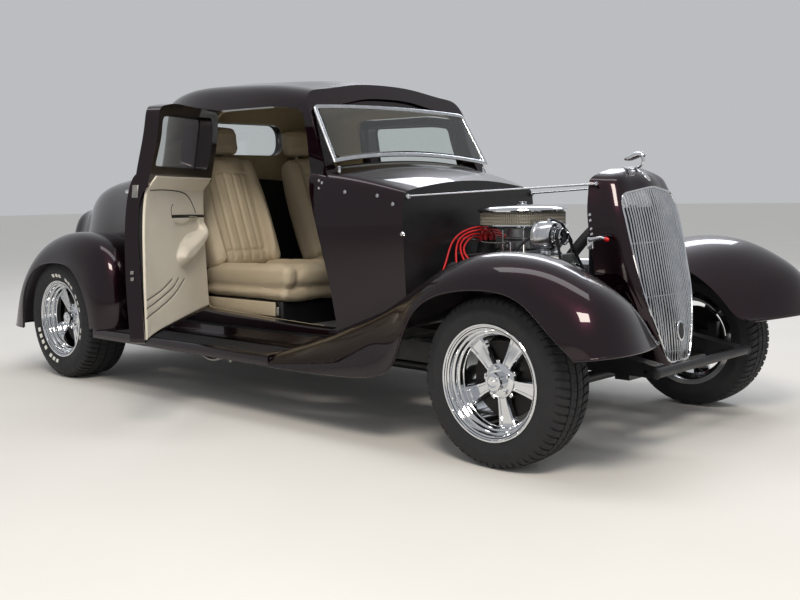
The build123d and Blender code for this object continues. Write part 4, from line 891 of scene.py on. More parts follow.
def meeting_line(grid):
    """Line where a fender's skin meets the body side: the first point inwards of each row inside the body."""
    found = []
    for row in grid:
        if row[-1, 0] > firewall_front or row[-1, 0] < welt_end:
            continue
        widths, heights = section_at(float(row[-1, 0]))
        side = np.interp(row[:, 2], heights, widths, left=0, right=0)
        inside = np.nonzero(row[:, 1] < side)[0]
        if len(inside) and inside[0] > 0:
            i = inside[0]
            before = row[i - 1, 1] - side[i - 1]
            after = row[i, 1] - side[i]
            found.append(row[i - 1] + (row[i] - row[i - 1]) * before / (before - after))
    return np.array(found)


def make_fender(end, table):
    """Pair of fenders: pressed skins, a rolled edge along the lip, and a welt where each meets the body."""
    grid = fender_grid(table)
    skin = thick(grid, -fender_gauge if end == "front" else fender_gauge)
    edge = grid[:, 0] + np.array((0, -lip_radius * 0.6, lip_radius * 0.2))
    rolled = tube(edge, lip_radius, 8)
    front_edge = tube(grid[-1], lip_radius, 8)
    line = meeting_line(grid)
    welt = tube(curve(line[::4], 90), welt_radius, 8) if len(line) > 12 else None
    skin = joined([skin, rolled, front_edge])
    for word, side in both_sides:
        name = f"fender_{end}_{word}"
        piece(f"{name}_skin", on_side(skin, side), "car", paint, (name,), 50)
        if welt:
            piece(f"{name}_welt", on_side(welt, side), "car", trim_black)


make_fender("front", front_fender_table)
make_fender("rear", rear_fender_table)

# Running boards: a rolled edge, a ribbed rubber tread and a rise to the body
board_profile = metres((
    (852, 252), (852, 285), (849, 294), (841, 299.5), (660, 299.5), (640, 303), (622, 322), (606, 343.7),
    (600, 343.7), (600, 333), (614, 314), (634, 292), (660, 288.5), (836, 288.5), (841, 284), (841, 256),
    (846, 252),
))
board_stations = np.linspace(-1.084, 0.3337, 40)
# Behind this station the board makes room for the rear fender and keeps this far from the middle
board_notch_x = -0.934
board_notch_y = 0.668


def make_board(word, side):
    """Running board: its profile carried along the car, with raised ribs along its tread."""
    rings = []
    for x in board_stations:
        ring = board_profile.copy()
        if x < board_notch_x:
            ring[:, 0] = np.maximum(ring[:, 0], board_notch_y)
        rings.append(np.column_stack([np.full(len(ring), x), side * ring[:, 0], ring[:, 1]]))
    piece(f"board_{word}", barrel(np.array(rings)), "car", paint, (f"running_board_{word}",))
    ribs = [
        block((-0.30, side * y, 0.3010), (1.15, 0.007, 0.005), 0.002) for y in np.arange(0.690, 0.822, 0.014)
    ]
    mat = block((-0.30, side * 0.755, 0.3002), (1.18, 0.156, 0.0035), 0.0015)
    piece(f"board_{word}_tread", joined([mat, *ribs]), "car", trim_black)


for word, side in both_sides:
    make_board(word, side)

# Radiator shell stations: height; back x, back half-width; front x, front half-width; nose x.
shell_table = metres((
    (300, 1600, 120, 1738, 92, 1760),
    (400, 1580, 165, 1728, 132, 1752),
    (560, 1545, 228, 1697, 190, 1726),
    (740, 1517, 243, 1657, 206, 1690),
    (900, 1498, 243, 1618, 204, 1652),
    (975, 1492, 226, 1592, 180, 1626),
    (1020, 1494, 170, 1566, 130, 1590),
    (1038, 1500, 90, 1546, 66, 1560),
))
shell_wall = 0.014
grille_outline = metres(((312, 78), (400, 116), (560, 176), (740, 194), (885, 198), (945, 180), (970, 0)))
grille_bars = 27


def shell_net(inset, back):
    """Net of the shell's plan sections: back edge, side, turned corner and nose, set in by an amount."""
    z, back_x, back_w, front_x, front_w, nose_x = shell_table.T
    span = front_x - back_x
    widening = back * (back_w - front_w) / span
    corner_x = front_x - inset
    nose = nose_x - inset
    edge_w = front_w - inset
    half_x = [back_x - back, back_x + 0.5 * span - inset * 0.5, corner_x - 0.10 * span, corner_x + 0.004,
              nose - 0.40 * (nose - corner_x), nose - 0.08 * (nose - corner_x)]
    half_y = [back_w - inset + widening, (back_w + front_w) / 2 - inset, edge_w + 0.10 * (back_w - front_w),
              edge_w * 0.93, edge_w * 0.55, edge_w * 0.22]
    x = np.stack([*half_x, nose, *half_x[::-1]], 1)
    y = np.stack([*half_y, 0 * z, *[-v for v in half_y[::-1]]], 1)
    return np.stack([x, y, np.broadcast_to(z[:, None], x.shape)], -1)


def shell_surface(inset, back, drop, rows=90, columns=91):
    """Smooth shell surface, its rows at rising heights; the top rows fall by the drop."""
    net = shell_net(inset, back)
    net[..., 2] -= drop * np.linspace(0, 1, len(net))[:, None] ** 0.5
    heights = np.linspace(shell_table[0, 0], shell_table[-1, 0], rows)
    return net_surface(net, shell_table[:, 0], heights, columns)


def crowned(grid, rise, rows=5):
    """Shell rings with a low crown added over the last one, each ring drawn in towards the middle."""
    last = grid[-1]
    middle = last.mean(0)
    turn = np.linspace(0, 1, rows + 1)[1:, None, None]
    rings = last + (middle - last) * turn * 0.85
    rings[..., 2] = last[:, 2] + rise * np.sqrt(1 - (1 - turn[..., 0]) ** 2)
    return np.concatenate([grid, rings])


shell_outer = barrel(crowned(shell_surface(0, 0, 0), 0.004))
shell_inner = barrel(shell_surface(shell_wall, 0.080, shell_wall))
grille_half = grille_outline[:, ::-1]
grille_reach = metres((30, 50, 50, 50, 28, 28))
grille_hole = rounded(
    np.concatenate([grille_half, (grille_half[:-1] * (-1, 1))[::-1]]),
    np.concatenate([grille_reach, [0.030], grille_reach[::-1]]), 7,
)
grille_cut = placed(plate(grille_hole, 0, 0.5), (1.45, 0, 0), (0, 1, 0), (0, 0, 1))
shell_shape = carved(shell_outer, ("DIFFERENCE", shell_inner), ("DIFFERENCE", grille_cut))
piece("radiator_shell_skin", shell_shape, "car", paint, ("radiator_shell",), 34)

# Grille: upright bars that follow the shell's front, with cross bars behind them
front_face = shell_surface(0.0, 0, 0, 200, 161)


def front_x_at(y, z):
    """Depth of the shell's front at a width and heights, read from the fine grid of its surface."""
    rows = np.clip(np.searchsorted(front_face[:, 0, 2], z), 0, len(front_face) - 1)
    half = front_face[:, 80::-1] if y >= 0 else front_face[:, 80:]
    widths = np.abs(half[rows, :, 1])
    depths = half[rows, :, 0]
    return np.array([np.interp(abs(y), w, d) for w, d in zip(widths, depths)])


def grille_span(y):
    """Lowest and highest point of the grille opening at one width."""
    widths = grille_outline[:, 1]
    heights = grille_outline[:, 0]
    low = np.interp(abs(y), widths[:5], heights[:5])
    high = np.interp(abs(y), widths[:3:-1], heights[:3:-1])
    return low + 0.002, high - 0.002


def make_grille():
    """Grille bars of a rounded section with the cross bars as one buffed aluminium piece, then a plated
    surround ring and the badge.
    """
    bars = []
    half = grille_outline[:, 1].max() - 0.006
    for y in np.linspace(-half, half, grille_bars):
        low, high = grille_span(y)
        z = np.linspace(low, high, 28)
        x = front_x_at(y, z) - 0.004
        bars.append(tube(np.column_stack([x, np.full(28, y), z]), 0.0036, 8))
    for z in (0.350, 0.560, 0.760):
        reach = np.interp(z, grille_outline[:, 0], grille_outline[:, 1]) - 0.003
        y = np.linspace(-reach, reach, 30)
        x = np.array([front_x_at(value, np.array([z]))[0] for value in y]) - 0.014
        bars.append(tube(np.column_stack([x, y, np.full(30, z)]), 0.004, 8))
    piece("grille_bars", joined(bars), "car", polished, ("grille",))
    ring = np.array([(front_x_at(y, np.array([z]))[0] + 0.001, y, z) for y, z in grille_hole[::2]])
    piece("grille_surround", tube(ring, 0.004, 8, closed=True), "car", chrome)
    for name, half_width, half_height, front, finish, slot in (
        ("grille_badge", 0.026, 0.040, 0.006, chrome, "chrome"),
        ("grille_badge_field", 0.019, 0.032, 0.0075, iron, "cast iron"),
    ):
        badge = plate(ellipse(half_width, half_height), 0, front, 0.002)
        piece(name, placed(badge, (1.752, 0, 0.425), (0, 1, 0), (-0.1, 0, 1)), "car", finish)


make_grille()


# Wheels. Columns: end, axle x, half track, tyre radius, tyre width, half-width of the rim, spokes' face.
wheels = (
    ("front", 1460, 698, 304, 205, 97, 30),
    ("rear", -1460, 717, 320, 255, 116, 38),
)
spoke_count = 5
# Turn of the spokes in degrees, as in the photograph
spoke_start = 62


def wheel_place(shape, axle_x, track_half, radius, side):
    """Shape from the wheel's own axes, its z pointing out of the car, to its place on the car."""
    return placed(shape, metres((axle_x, side * track_half, radius)), (1, 0, 0), (0, 0, -side))


def wall_keys(radius, half):
    """Widest part of a tyre's wall: half-width and radius at four points."""
    middle = (207 + radius) / 2
    return [
        (half - 3, middle - 22), (half - 0.5, middle - 6), (half - 4, radius - 44),
        (half - 11, radius - 25),
    ]


def tyre_grid(radius, width, rim_half, blocks=64):
    """Tyre with a cut tread, as rings of one radius profile.

    The profile is a spline from bead to bead through the shoulders. Three grooves run round it, and cross
    grooves, raked back towards the shoulders, lower every fourth and fifth ring point by their depth.
    """
    half = width / 2
    bead = rim_half - 7
    side_keys = [(bead, 190.6), (bead + 1, 203), (bead + 5, 212), *wall_keys(radius, half)]
    shoulder = [(half - 17, radius - 12.5), (half - 25, radius - 7), (half - 36, radius - 4.2)]
    wall = curve(np.array(side_keys), 15)
    top = curve(np.array(side_keys[-1:] + shoulder), 7)[1:]
    crown_half = half - 36
    spans = []
    edges = (0.93, 0.60, 0.50, 0.07, -0.07, -0.50, -0.60, -0.93)
    for start, end in zip(edges[:-1], edges[1:]):
        cut = (start, end) in ((0.60, 0.50), (0.07, -0.07), (-0.50, -0.60))
        across = np.linspace(start, end, 4) * crown_half
        height = radius - 4.2 * (across / crown_half) ** 2
        if cut:
            height = height[[0, 0, 3, 3]] - (0, 8, 8, 0)
            across = across[[0, 0, 3, 3]] + (0, -0.9, 0.9, 0)
        spans.append(np.column_stack([across, height]))
    middle = np.concatenate(spans)
    right = np.concatenate([wall, top])
    profile = np.concatenate([right, middle, (right * (-1, 1))[::-1]])
    rank = np.abs(profile[:, 0])
    tread = (profile[:, 1] > radius - 6) | ((profile[:, 1] > radius - 24) & (rank > half - 30))
    phase = np.array((0.0, 0.70, 0.75, 0.95))
    turn = (np.arange(blocks)[:, None] + phase).ravel() / blocks * turn_once
    low = np.tile((0.0, 0.0, 1.0, 1.0), blocks)
    rake = 0.9 * turn_once / blocks * (rank / half)
    depth = np.where(tread, np.where(rank > 0.5 * crown_half, 5.5, 1.6), 0.0)
    r = profile[:, 1:2] - depth[:, None] * low[None, :]
    angle = turn[None, :] + rake[:, None]
    return metres(
        np.stack([r * np.cos(angle), r * np.sin(angle), np.broadcast_to(profile[:, :1], r.shape)], -1)
    )


def sidewall_at(radius, width, rim_half, at):
    """Distance of the tyre's outer wall from its middle, at a radius."""
    half = width / 2
    fine = curve([(rim_half - 2, 212), *wall_keys(radius, half)], 60)
    return np.interp(at, fine[:, 1], fine[:, 0])


def wall_marks(radius, width, rim_half, low, high, spans):
    """Raised blocks on the outer wall: each a curved plate between two radii and two angles."""
    marks = []
    for start, end in spans:
        turn = np.radians(np.linspace(start, end, 4))[None, :]
        r = np.linspace(low, high, 4)[:, None]
        out = np.broadcast_to(sidewall_at(radius, width, rim_half, r), (4, 4)) - 0.6
        grid = metres(np.stack([r * np.cos(turn), r * np.sin(turn), out], -1))
        marks.append(thick(grid, 0.0019))
    return joined(marks)


def rim_profile(rim_half):
    """Closed rim section: a rolled lip, a barrel stepping down to the spokes, and the wall behind it."""
    h = rim_half
    front = [
        (h - 9, 204.5), (h - 6, 207), (h - 1.6, 207), (h, 205.4), (h, 201), (h - 1.4, 199.2), (h - 5, 198),
        (h - 7.5, 193), (h - 8.6, 187.8), (h - 11, 185.4), (h - 25, 184), (h - 27.5, 182.6),
        (h - 28.6, 177.8), (h - 31, 175.6), (h - 43, 174.4), (h - 45.5, 173), (h - 46.6, 168.4),
        (h - 49, 166.2), (h - 64, 165), (h - 66.5, 163.8), (h - 68, 162),
    ]
    rear = [
        (-h + 45, 162), (-h + 33, 184), (-h + 6, 185), (-h, 186), (-h, 207), (-h + 6, 207), (-h + 6.4, 190),
        (-h + 36, 190), (-h + 48, 168), (h - 62, 168), (h - 52, 171.6), (h - 47, 177.6), (h - 34, 179.4),
        (h - 29, 186.4), (h - 12.5, 188.8), (h - 10.4, 192),
    ]
    return metres(front + rear)


def spoke(face_out):
    """One spoke: sections along its length, wider at the rim, with a sunk face between raised edges."""
    stations = np.array(((48, 21), (62, 21.5), (84, 23.5), (110, 28), (134, 33), (150, 36.5), (164.5, 39)))
    rows = []
    for r, half in stations:
        lift = -3.5 + 3.5 * math.cos((r - 48) / 116 * math.pi) + (4 if r > 160 else 0)
        across = np.array((-1, -0.95, -0.80, -0.52, -0.44, 0.44, 0.52, 0.80, 0.95, 1)) * half
        height = face_out + lift + np.array((-24, -7, -0.4, 0, -3.6, -3.6, 0, -0.4, -7, -24))
        rows.append(np.column_stack([np.full(10, r), across, height]))
    return barrel(metres(np.array(rows)))


def wheel_face(face_out):
    """Centre of a wheel in its own axes: spokes, hub, eight-sided cap and five nuts."""
    around, halfway = [
        [Matrix.Rotation((k + shift) * turn_once / spoke_count, 4, "Z") for k in range(spoke_count)]
        for shift in (0, 0.5)
    ]
    spokes = repeated(spoke(face_out), around)
    f = face_out
    hub = lathe(
        metres([
            (f - 24, 40), (f - 24, 58), (f - 20, 62), (f - 3, 63), (f + 1, 61), (f + 4, 56), (f + 6.5, 45),
            (f + 7, 36), (f + 7, 1),
        ]),
        sides=60,
    )
    octagon = np.radians(np.arange(8) * 45 + 22.5)
    ring = metres(34.5 * np.column_stack([np.cos(octagon), np.sin(octagon)]))
    cap = plate(ring, (f + 2) / 1000, (f + 39) / 1000, 0.004, 4)
    crown = lathe(
        metres([
            (f + 36, 24), (f + 39.5, 23.5), (f + 41, 20), (f + 39.8, 17), (f + 39.8, 9), (f + 42, 7),
            (f + 42, 0.5),
        ]),
        sides=40,
    )
    nuts = repeated(hexagon(0.015, 0.014, metres((48.5, 0, f + 4)), (0, 0, 1)), halfway)
    webs = repeated(block(metres((60, 0, f - 12)), metres((26, 16, 18)), 0.003), halfway)
    return spokes, joined([hub, webs]), joined([cap, crown]), nuts


white_starts = (96, 87, 79, 62, 54, 46, 31, 22, 13, -14, -23, 196, 205, 214, 224, 240, 249, 258)
white_spans = [(start, start + 5.4) for start in white_starts]
rib_radius = 214.5
for end, axle_x, track_half, radius, width, rim_half, face_out in wheels:
    tread = tyre_grid(radius, width, rim_half)
    barrel_shape = lathe(rim_profile(rim_half), sides=112, closed=True)
    spokes, hub, cap, nuts = wheel_face(face_out)
    out = sidewall_at(radius, width, rim_half, rib_radius)
    rib = metres(((out, rib_radius - 0.5), (out + 0.7, rib_radius), (out, rib_radius + 0.5)))
    rib = lathe(rib, sides=112, closed=True)
    for word, side in both_sides:
        body = f"wheel_{end}_{word}"
        spin = Matrix.Rotation(math.radians(-spoke_start * side), 4, "Z")
        mirror = Matrix.Scale(-side, 4, (0, 1, 0))

        def there(shape):
            return wheel_place(shape, axle_x, track_half, radius, side)

        piece(f"tyre_{end}_{word}_tread", there(closed_rings(tread)), body, tyre_rubber,
              (f"tyre_{end}_{word}",), 30)
        turned = [repeated(shape, [spin]) for shape in (spokes, hub, cap, nuts)]
        piece(
            f"rim_{end}_{word}_barrel", there(barrel_shape), body, chrome, (f"rim_{end}_{word}",),
            30,
        )
        piece(f"rim_{end}_{word}_spokes", there(joined(turned[:2])), body, chrome, (), 26)
        piece(f"rim_{end}_{word}_cap", there(turned[2]), body, chrome, (), 26)
        piece(f"rim_{end}_{word}_nuts", there(turned[3]), body, chrome, (), 26)
        if end == "rear":
            marks = repeated(wall_marks(radius, width, rim_half, 226, 243, white_spans), [mirror])
            piece(f"tyre_{end}_{word}_white_blocks", there(marks), body, white_rubber, (), 30)
        else:
            piece(f"tyre_{end}_{word}_ribs", there(rib), body, tyre_rubber, (), 30)


# Engine: two banks at 45 degrees about the crank line, and a point on a bank by its own axes.
bank_middle = 1040
crank_z = 370
plug_stations = (850, 960, 1070, 1180)
plug_shift = 26


def bank_point(x, across, up, side):
    """Point in metres: across runs outwards on the head, up runs square to the deck, from the crank line."""
    share = math.sqrt(0.5)
    return metres((x, side * share * (up + across), crank_z + share * (up - across)))


def on_bank(shape, side):
    """Shape put on a bank: x along the engine, y outwards across the head and z up from the crank line."""
    share = math.sqrt(0.5)
    return placed(
        on_side(shape, side), metres((bank_middle, 0, crank_z)), (1, 0, 0), (0, share, -side * share),
    )


def ribbed_cover(side):
    """Rocker cover: a drawn pan on a flange, seven fins along its top, hold-down bolts and a filler cap."""
    flange = plate(rectangle(0.462, 0.122, 0.026, 6), 0.318, 0.323, 0.001)
    rows = []
    for height, inset in (
        (0.322, 0), (0.352, 0.004), (0.368, 0.008), (0.378, 0.014), (0.383, 0.024), (0.384, 0.034),
    ):
        ring = rectangle(0.450 - 2 * inset, 0.108 - 2 * inset, 0.030, 6)
        rows.append(np.column_stack([ring, np.full(len(ring), height)]))
    pan = barrel(np.array(rows))
    fins = [block((0, y, 0.3845), (0.372, 0.0032, 0.008), 0.0008) for y in np.linspace(-0.027, 0.027, 7)]
    bolts = [
        hexagon(0.011, 0.008, (x, y, 0.323), (0, 0, 1))
        for x in (-0.20, -0.07, 0.07, 0.20)
        for y in (-0.057, 0.057)
    ]
    cap = lathe(metres([(384, 22), (388, 23), (390, 25), (402, 25), (405, 22), (405.5, 2)]),
                (0.178 * side, 0, 0), sides=40)
    return [on_bank(joined([flange, pan, *fins]), side), on_bank(joined([*bolts, cap]), side)]


covers = [ribbed_cover(side) for side in (1, -1)]
castings = []
for side in (1, -1):
    head = block((0, 0, 0.284), (0.470, 0.156, 0.068), 0.006)
    bosses = [
        block(((x - bank_middle) / 1000, 0.080, 0.288), (0.052, 0.014, 0.046), 0.004)
        for x in plug_stations
    ]
    plugs = [
        lathe(
            metres([(0, 7), (8, 7), (8.5, 4.5), (20, 4.5), (21, 2)]),
            ((x - bank_middle - plug_shift) / 1000, 0.078, 0.305), (0, 1, 0.35), 20,
        )
        for x in plug_stations
    ]
    castings.append(on_bank(joined([head, *bosses, *plugs]), side))
piece("cylinder_head_castings", joined(castings), "car", iron, ("cylinder_heads",), 30)
piece("rocker_covers", joined([cover[0] for cover in covers]), "car", polished, (), 30)
piece("rocker_cover_bolts", joined([cover[1] for cover in covers]), "car", chrome, (), 30)

# Intake: a valley cover, four runners a side to the heads, and the plenum with the carburettor's flange
valley = metres([(0, 511), (36, 513), (96, 574), (146, 627), (140, 640), (96, 622), (48, 588), (0, 582)])
valley = np.concatenate([valley, (valley * (-1, 1))[::-1][1:-1]])
rings = [np.column_stack([np.full(len(valley), x), valley]) for x in (0.884, 0.890, 1.228, 1.234)]
for k in (0, 3):
    rings[k][:, 1:] = (rings[k][:, 1:] - (0, 0.575)) * 0.985 + (0, 0.575)
manifold = [barrel(np.array(rings))]
for side in (1, -1):
    for k, x in enumerate(plug_stations):
        pull = (0.965, 1.000, 1.030, 1.065)[k]
        line = curve(
            np.array([
                (pull, side * 0.030, 0.672), (0.4 * pull + 0.6 * x / 1000, side * 0.070, 0.672),
                (x / 1000, side * 0.112, 0.640), (x / 1000, side * 0.140, 0.612),
            ]),
            12,
        )
        manifold.append(tube(line, 0.021, 14, squeeze=1.15))
manifold.append(block((1.015, 0, 0.684), (0.165, 0.150, 0.040), 0.008))
manifold.append(
    lathe(metres([(0, 26), (18, 25), (40, 24), (52, 30), (58, 30)]), (1.196, 0, 0.628), (0.75, 0, 0.66), 32)
)
manifold += [hexagon(0.012, 0.009, (x, side * 0.134, 0.640), (0, side * -0.5, 1))
             for side in (1, -1) for x in (0.905, 1.0125, 1.125, 1.215)]
piece("intake_manifold", joined(manifold), "car", cast_alloy, ("intake",), 34)

# Carburettor: base, two float bowls, the air horn, throttle shaft and linkage
carburettor = [
    block((1.015, 0, 0.708), (0.126, 0.108, 0.010), 0.003),
    block((1.015, 0, 0.735), (0.104, 0.094, 0.046), 0.010),
    block((0.958, 0, 0.738), (0.034, 0.100, 0.040), 0.008),
    block((1.073, 0, 0.738), (0.034, 0.100, 0.040), 0.008),
    block((1.015, 0, 0.764), (0.120, 0.104, 0.012), 0.004),
]
carburettor += [lathe(metres([(0, 64), (4, 66), (36, 64), (38, 62)]), (1.015, 0, 0.768), (0, 0, 1), 56)]
carburettor += [tube(metres([(1.0e3, -66, 716), (1.0e3, 66, 716)]), 0.004, 10)]
carburettor += [
    block(metres((x, y, 742)), metres((5, 7, 30)), 0.001)
    for x in (944, 1087)
    for y in (-38, -13, 13, 38)
]
piece("carburettor", joined(carburettor), "car", cast_alloy, (), 32)
linkage = [
    block(metres((1000, -68, 722)), metres((10, 4, 52)), 0.0015),
    tube(
        metres([(1000, -72, 744), (930, -74, 742), (868, -74, 744), (770, -60, 760), (741, -60, 762)]),
        0.003, 8,
    ),
    tube(metres([(1000, 68, 700), (1000, 74, 690), (1008, 76, 640)]), 0.004, 8),
    tube(
        curve(
            metres([
                (1092, -30, 744), (1128, -38, 744), (1150, -60, 722), (1176, -96, 690), (1210, -120, 640),
            ]),
            24,
        ),
        0.005, 10,
    ),
    tube(
        curve(
            metres([(1092, 30, 744), (1130, 40, 744), (1156, 76, 700), (1186, 120, 640), (1236, 150, 560)]),
            24,
        ),
        0.005, 10,
    ),
]
linkage += [hexagon(0.015, 0.012, metres((1092, y, 744)), (1, 0, 0)) for y in (-30, 30)]
linkage += [
    tube(metres([(958, -64, 700), (958, -64, 798)]), 0.004, 10),
    tube(metres([(1072, -70, 706), (1072, -70, 798)]), 0.0035, 10),
]
piece("throttle_linkage", joined(linkage), "car", chrome, (), 34)

# Distributor: a turned body and vacuum pot under a black cap with eight towers round a ninth
ignition = [
    lathe(
        metres([
            (510.6, 26), (530, 26), (534, 30), (560, 30), (566, 22), (640, 22), (650, 34), (688, 36),
            (690, 34),
        ]),
        (0.824, 0, 0), sides=40,
    ),
    tube(metres([(824, -30, 668), (824, -62, 668)]), 0.006, 10),
    lathe(metres([(0, 8), (4, 20), (14, 20), (18, 8)]), (0.824, -0.060, 0.668), (0, -1, 0), 28),
]
piece("distributor_body", joined(ignition), "car", polished, ("distributor",), 30)
towers = [(824 + 30 * math.cos(a), 30 * math.sin(a)) for a in np.radians(np.arange(8) * 45 + 22.5)]
cap_parts = [
    lathe(
        metres([(690, 46), (694, 50), (706, 50), (712, 46), (738, 43), (744, 38), (746, 20), (747, 2)]),
        (0.824, 0, 0), sides=48,
    )
]
cap_parts += [
    lathe(metres([(736, 8.5), (760, 7.5), (762, 6)]), metres((x, y, 0)), sides=18)
    for x, y in towers + [(824, 0)]
]
piece("distributor_cap", joined(cap_parts), "car", trim_black, (), 30)
leads = []
boots = []
order = ((0, -1, 0), (1, -1, 7), (2, -1, 6), (3, -1, 5), (0, 1, 3), (1, 1, 4), (2, 1, 2), (3, 1, 1))
for rank, side, tower in order:
    x, y = towers[tower]
    plug = bank_point(plug_stations[rank] - plug_shift, 104, 314, side)
    gap = 9 * rank
    line = curve(
        np.array([
            metres((x, y, 758)), metres((x - 3 * rank, y + side * 12, 790 - gap)),
            metres((790 + gap, side * (88 + gap), 800 - 1.5 * gap)),
            metres((774 + 0.16 * (rank > 0) * (plug[0] * 1000 - 774) + gap, side * (180 + gap), 745 - gap)),
            metres((plug[0] * 1000 * 0.55 + 0.45 * (778 + gap), side * 262, 655 - 4 * rank)),
            plug + metres((0, side * 26, 34)), plug + metres((0, side * 8, 6)),
        ]),
        44,
    )
    leads.append(tube(line, 0.0042, 10))
    boots.append(tube(line[-5:], (0.0055, 0.0075, 0.0080, 0.0085, 0.0085), 12))
    boots.append(
        tube(
            np.array([metres((x, y, 752)), metres((x, y, 766)), metres((x, y, 780))]),
            (0.0085, 0.0080, 0.0055), 12,
        )
    )
leads.append(
    tube(
        curve(metres([(824, 0, 760), (824, 6, 800), (796, 30, 812), (760, 40, 800), (744, 40, 790)]), 20),
        0.0042, 10,
    )
)
piece("plug_leads", joined(leads), "car", lead_red, (), 40)
piece("plug_lead_boots", joined(boots), "car", lead_red, (), 40)
coil = [
    lathe(
        metres([(0, 12), (2, 25), (84, 25), (88, 20), (92, 9), (104, 9)]), metres((735, 60, 790)),
        (0, 1, 0), 32,
    ),
    block(metres((737, 96, 790)), metres((6, 40, 66)), 0.002),
]
piece("ignition_coil", joined(coil), "car", chrome, (), 30)

# Air cleaner: base pan, pleated paper and a pressed lid with a wing nut
cleaner_base = lathe(
    metres([
        (805, 66), (806, 150), (808, 176), (814, 190), (818, 192), (823, 190.5), (823, 186), (819, 184),
        (816, 176), (812, 150), (811, 66),
    ]),
    (1.015, 0, 0), sides=120, closed=True,
)
lid = lathe(
    metres([
        (876, 178), (875, 186), (877, 191), (882, 192), (887, 190), (892, 182), (897, 166), (900, 140),
        (903, 100), (904.5, 60), (905, 26), (902.5, 22), (902.5, 1),
    ]),
    (1.015, 0, 0), sides=120,
)
nut = [lathe(metres([(902, 9), (908, 9), (911, 6), (916, 5), (917, 1)]), (1.015, 0, 0), sides=24)]
nut += [block(metres((1015 + dx, 0, 912)), metres((17, 4, 10)), 0.0015) for dx in (-12, 12)]
piece("air_cleaner_pans", joined([cleaner_base, lid, *nut]), "car", chrome, ("air_cleaner",), 26)
pleat = 1 + 0.022 * np.where(np.arange(480) % 4 < 2, 1, -1)
paper = lathe(metres([(817, 172), (819, 176), (876, 176), (878, 172)]), (1.015, 0, 0), sides=480, wave=pleat)
piece("air_cleaner_paper", paper, "car", filter_paper, (), 20)
mesh_rings = [
    tube(metres(np.column_stack([ellipse(181.5, 181.5, 96) + (1015, 0), np.full(96, z)])), 0.0012, 6, True)
    for z in (822, 834, 847, 860, 873)
]
piece("air_cleaner_wires", joined(mesh_rings), "car", zinc, (), 40)

# Front drive: crank and pump pulleys, alternator, belts, fan and brackets
def pulley(x, y, z, radius, width, grooves=1):
    """Turned pulley about the engine's length with V grooves."""
    profile = [(0, 0.32 * radius), (0, radius)]
    pitch = width / grooves
    for k in range(grooves):
        at = k * pitch
        profile += [
            (at + 0.16 * pitch, radius), (at + 0.38 * pitch, radius - 9), (at + 0.62 * pitch, radius - 9),
            (at + 0.84 * pitch, radius),
        ]
    profile += [(width, radius), (width, radius - 5), (width - 6, radius - 7), (width - 7, 0.42 * radius),
                (width, 0.36 * radius), (width, 1)]
    return lathe(metres(profile), metres((x, y, z)), (1, 0, 0), 64)


pulleys = [pulley(1290.6, 0, 370, 76, 44, 2), pulley(1322, 0, 560, 66, 24), pulley(1304, -150, 780, 34, 28)]
pulleys.append(lathe(metres([(0, 30), (14, 30), (20, 26), (21, 2)]), metres((1346, 0, 560)), (1, 0, 0), 36))
piece("drive_pulleys", joined(pulleys), "car", chrome, ("front_drive",), 30)
pump = [
    lathe(
        metres([(0, 40), (6, 52), (18, 52), (24, 40), (34, 26), (36, 20)]), metres((1290.6, 0, 560)),
        (1, 0, 0), 40,
    ),
    block(metres((1301, 0, 470)), metres((20, 92, 176)), 0.007),
    block(metres((1301, -78, 692)), metres((16, 116, 34)), 0.005),
    block(metres((1301, -32, 634)), metres((16, 44, 96)), 0.005),
    tube(curve(metres([(1302, 44, 520), (1318, 96, 470), (1360, 130, 436)]), 12), 0.022, 16),
]
pump += [hexagon(0.014, 0.009, metres((1311, y, z)), (1, 0, 0)) for y in (-36, 36) for z in (400, 450, 540)]
piece("water_pump", joined(pump), "car", cast_alloy, (), 32)
alternator = [
    lathe(
        metres([
            (1200, 40), (1203, 52), (1208, 58), (1222, 60), (1224, 58.5), (1240, 58.5), (1242, 60),
            (1280, 60), (1294, 54), (1300, 40), (1304, 18), (1304, 1),
        ]),
        metres((0, -150, 780)), (1, 0, 0), 72,
    ),
    block(metres((1262, -150, 842)), metres((16, 22, 14)), 0.003),
    block(metres((1262, -150, 716)), metres((24, 26, 20)), 0.003),
]
fan_slots = [block(metres((1297, -150 + 40 * math.cos(a), 780 + 40 * math.sin(a))), metres((16, 7, 7)), 0.002)
             for a in np.arange(12) * turn_once / 12]
slots = [block(metres((1203, -150 + 38 * math.cos(a), 780 + 38 * math.sin(a))), metres((8, 9, 9)), 0.002)
         for a in np.arange(10) * turn_once / 10]
piece("alternator_case", joined([*alternator, *fan_slots]), "car", polished, (), 30)
piece("alternator_slots", joined(slots), "car", trim_black, (), 30)
arm = [
    tube(
        metres([(1262, -150, 848), (1290, -110, 830), (1300, -60, 760), (1301, -40, 690)]), 0.008, 12,
        squeeze=0.5,
    ),
    tube(metres([(1262, -172, 716), (1262, -96, 708)]), 0.006, 12),
    tube(metres([(1204, -150, 835), (1160, -130, 842), (1120, -90, 830)]), 0.003, 8),
]
piece("alternator_bracket", joined(arm), "car", chrome, (), 32)


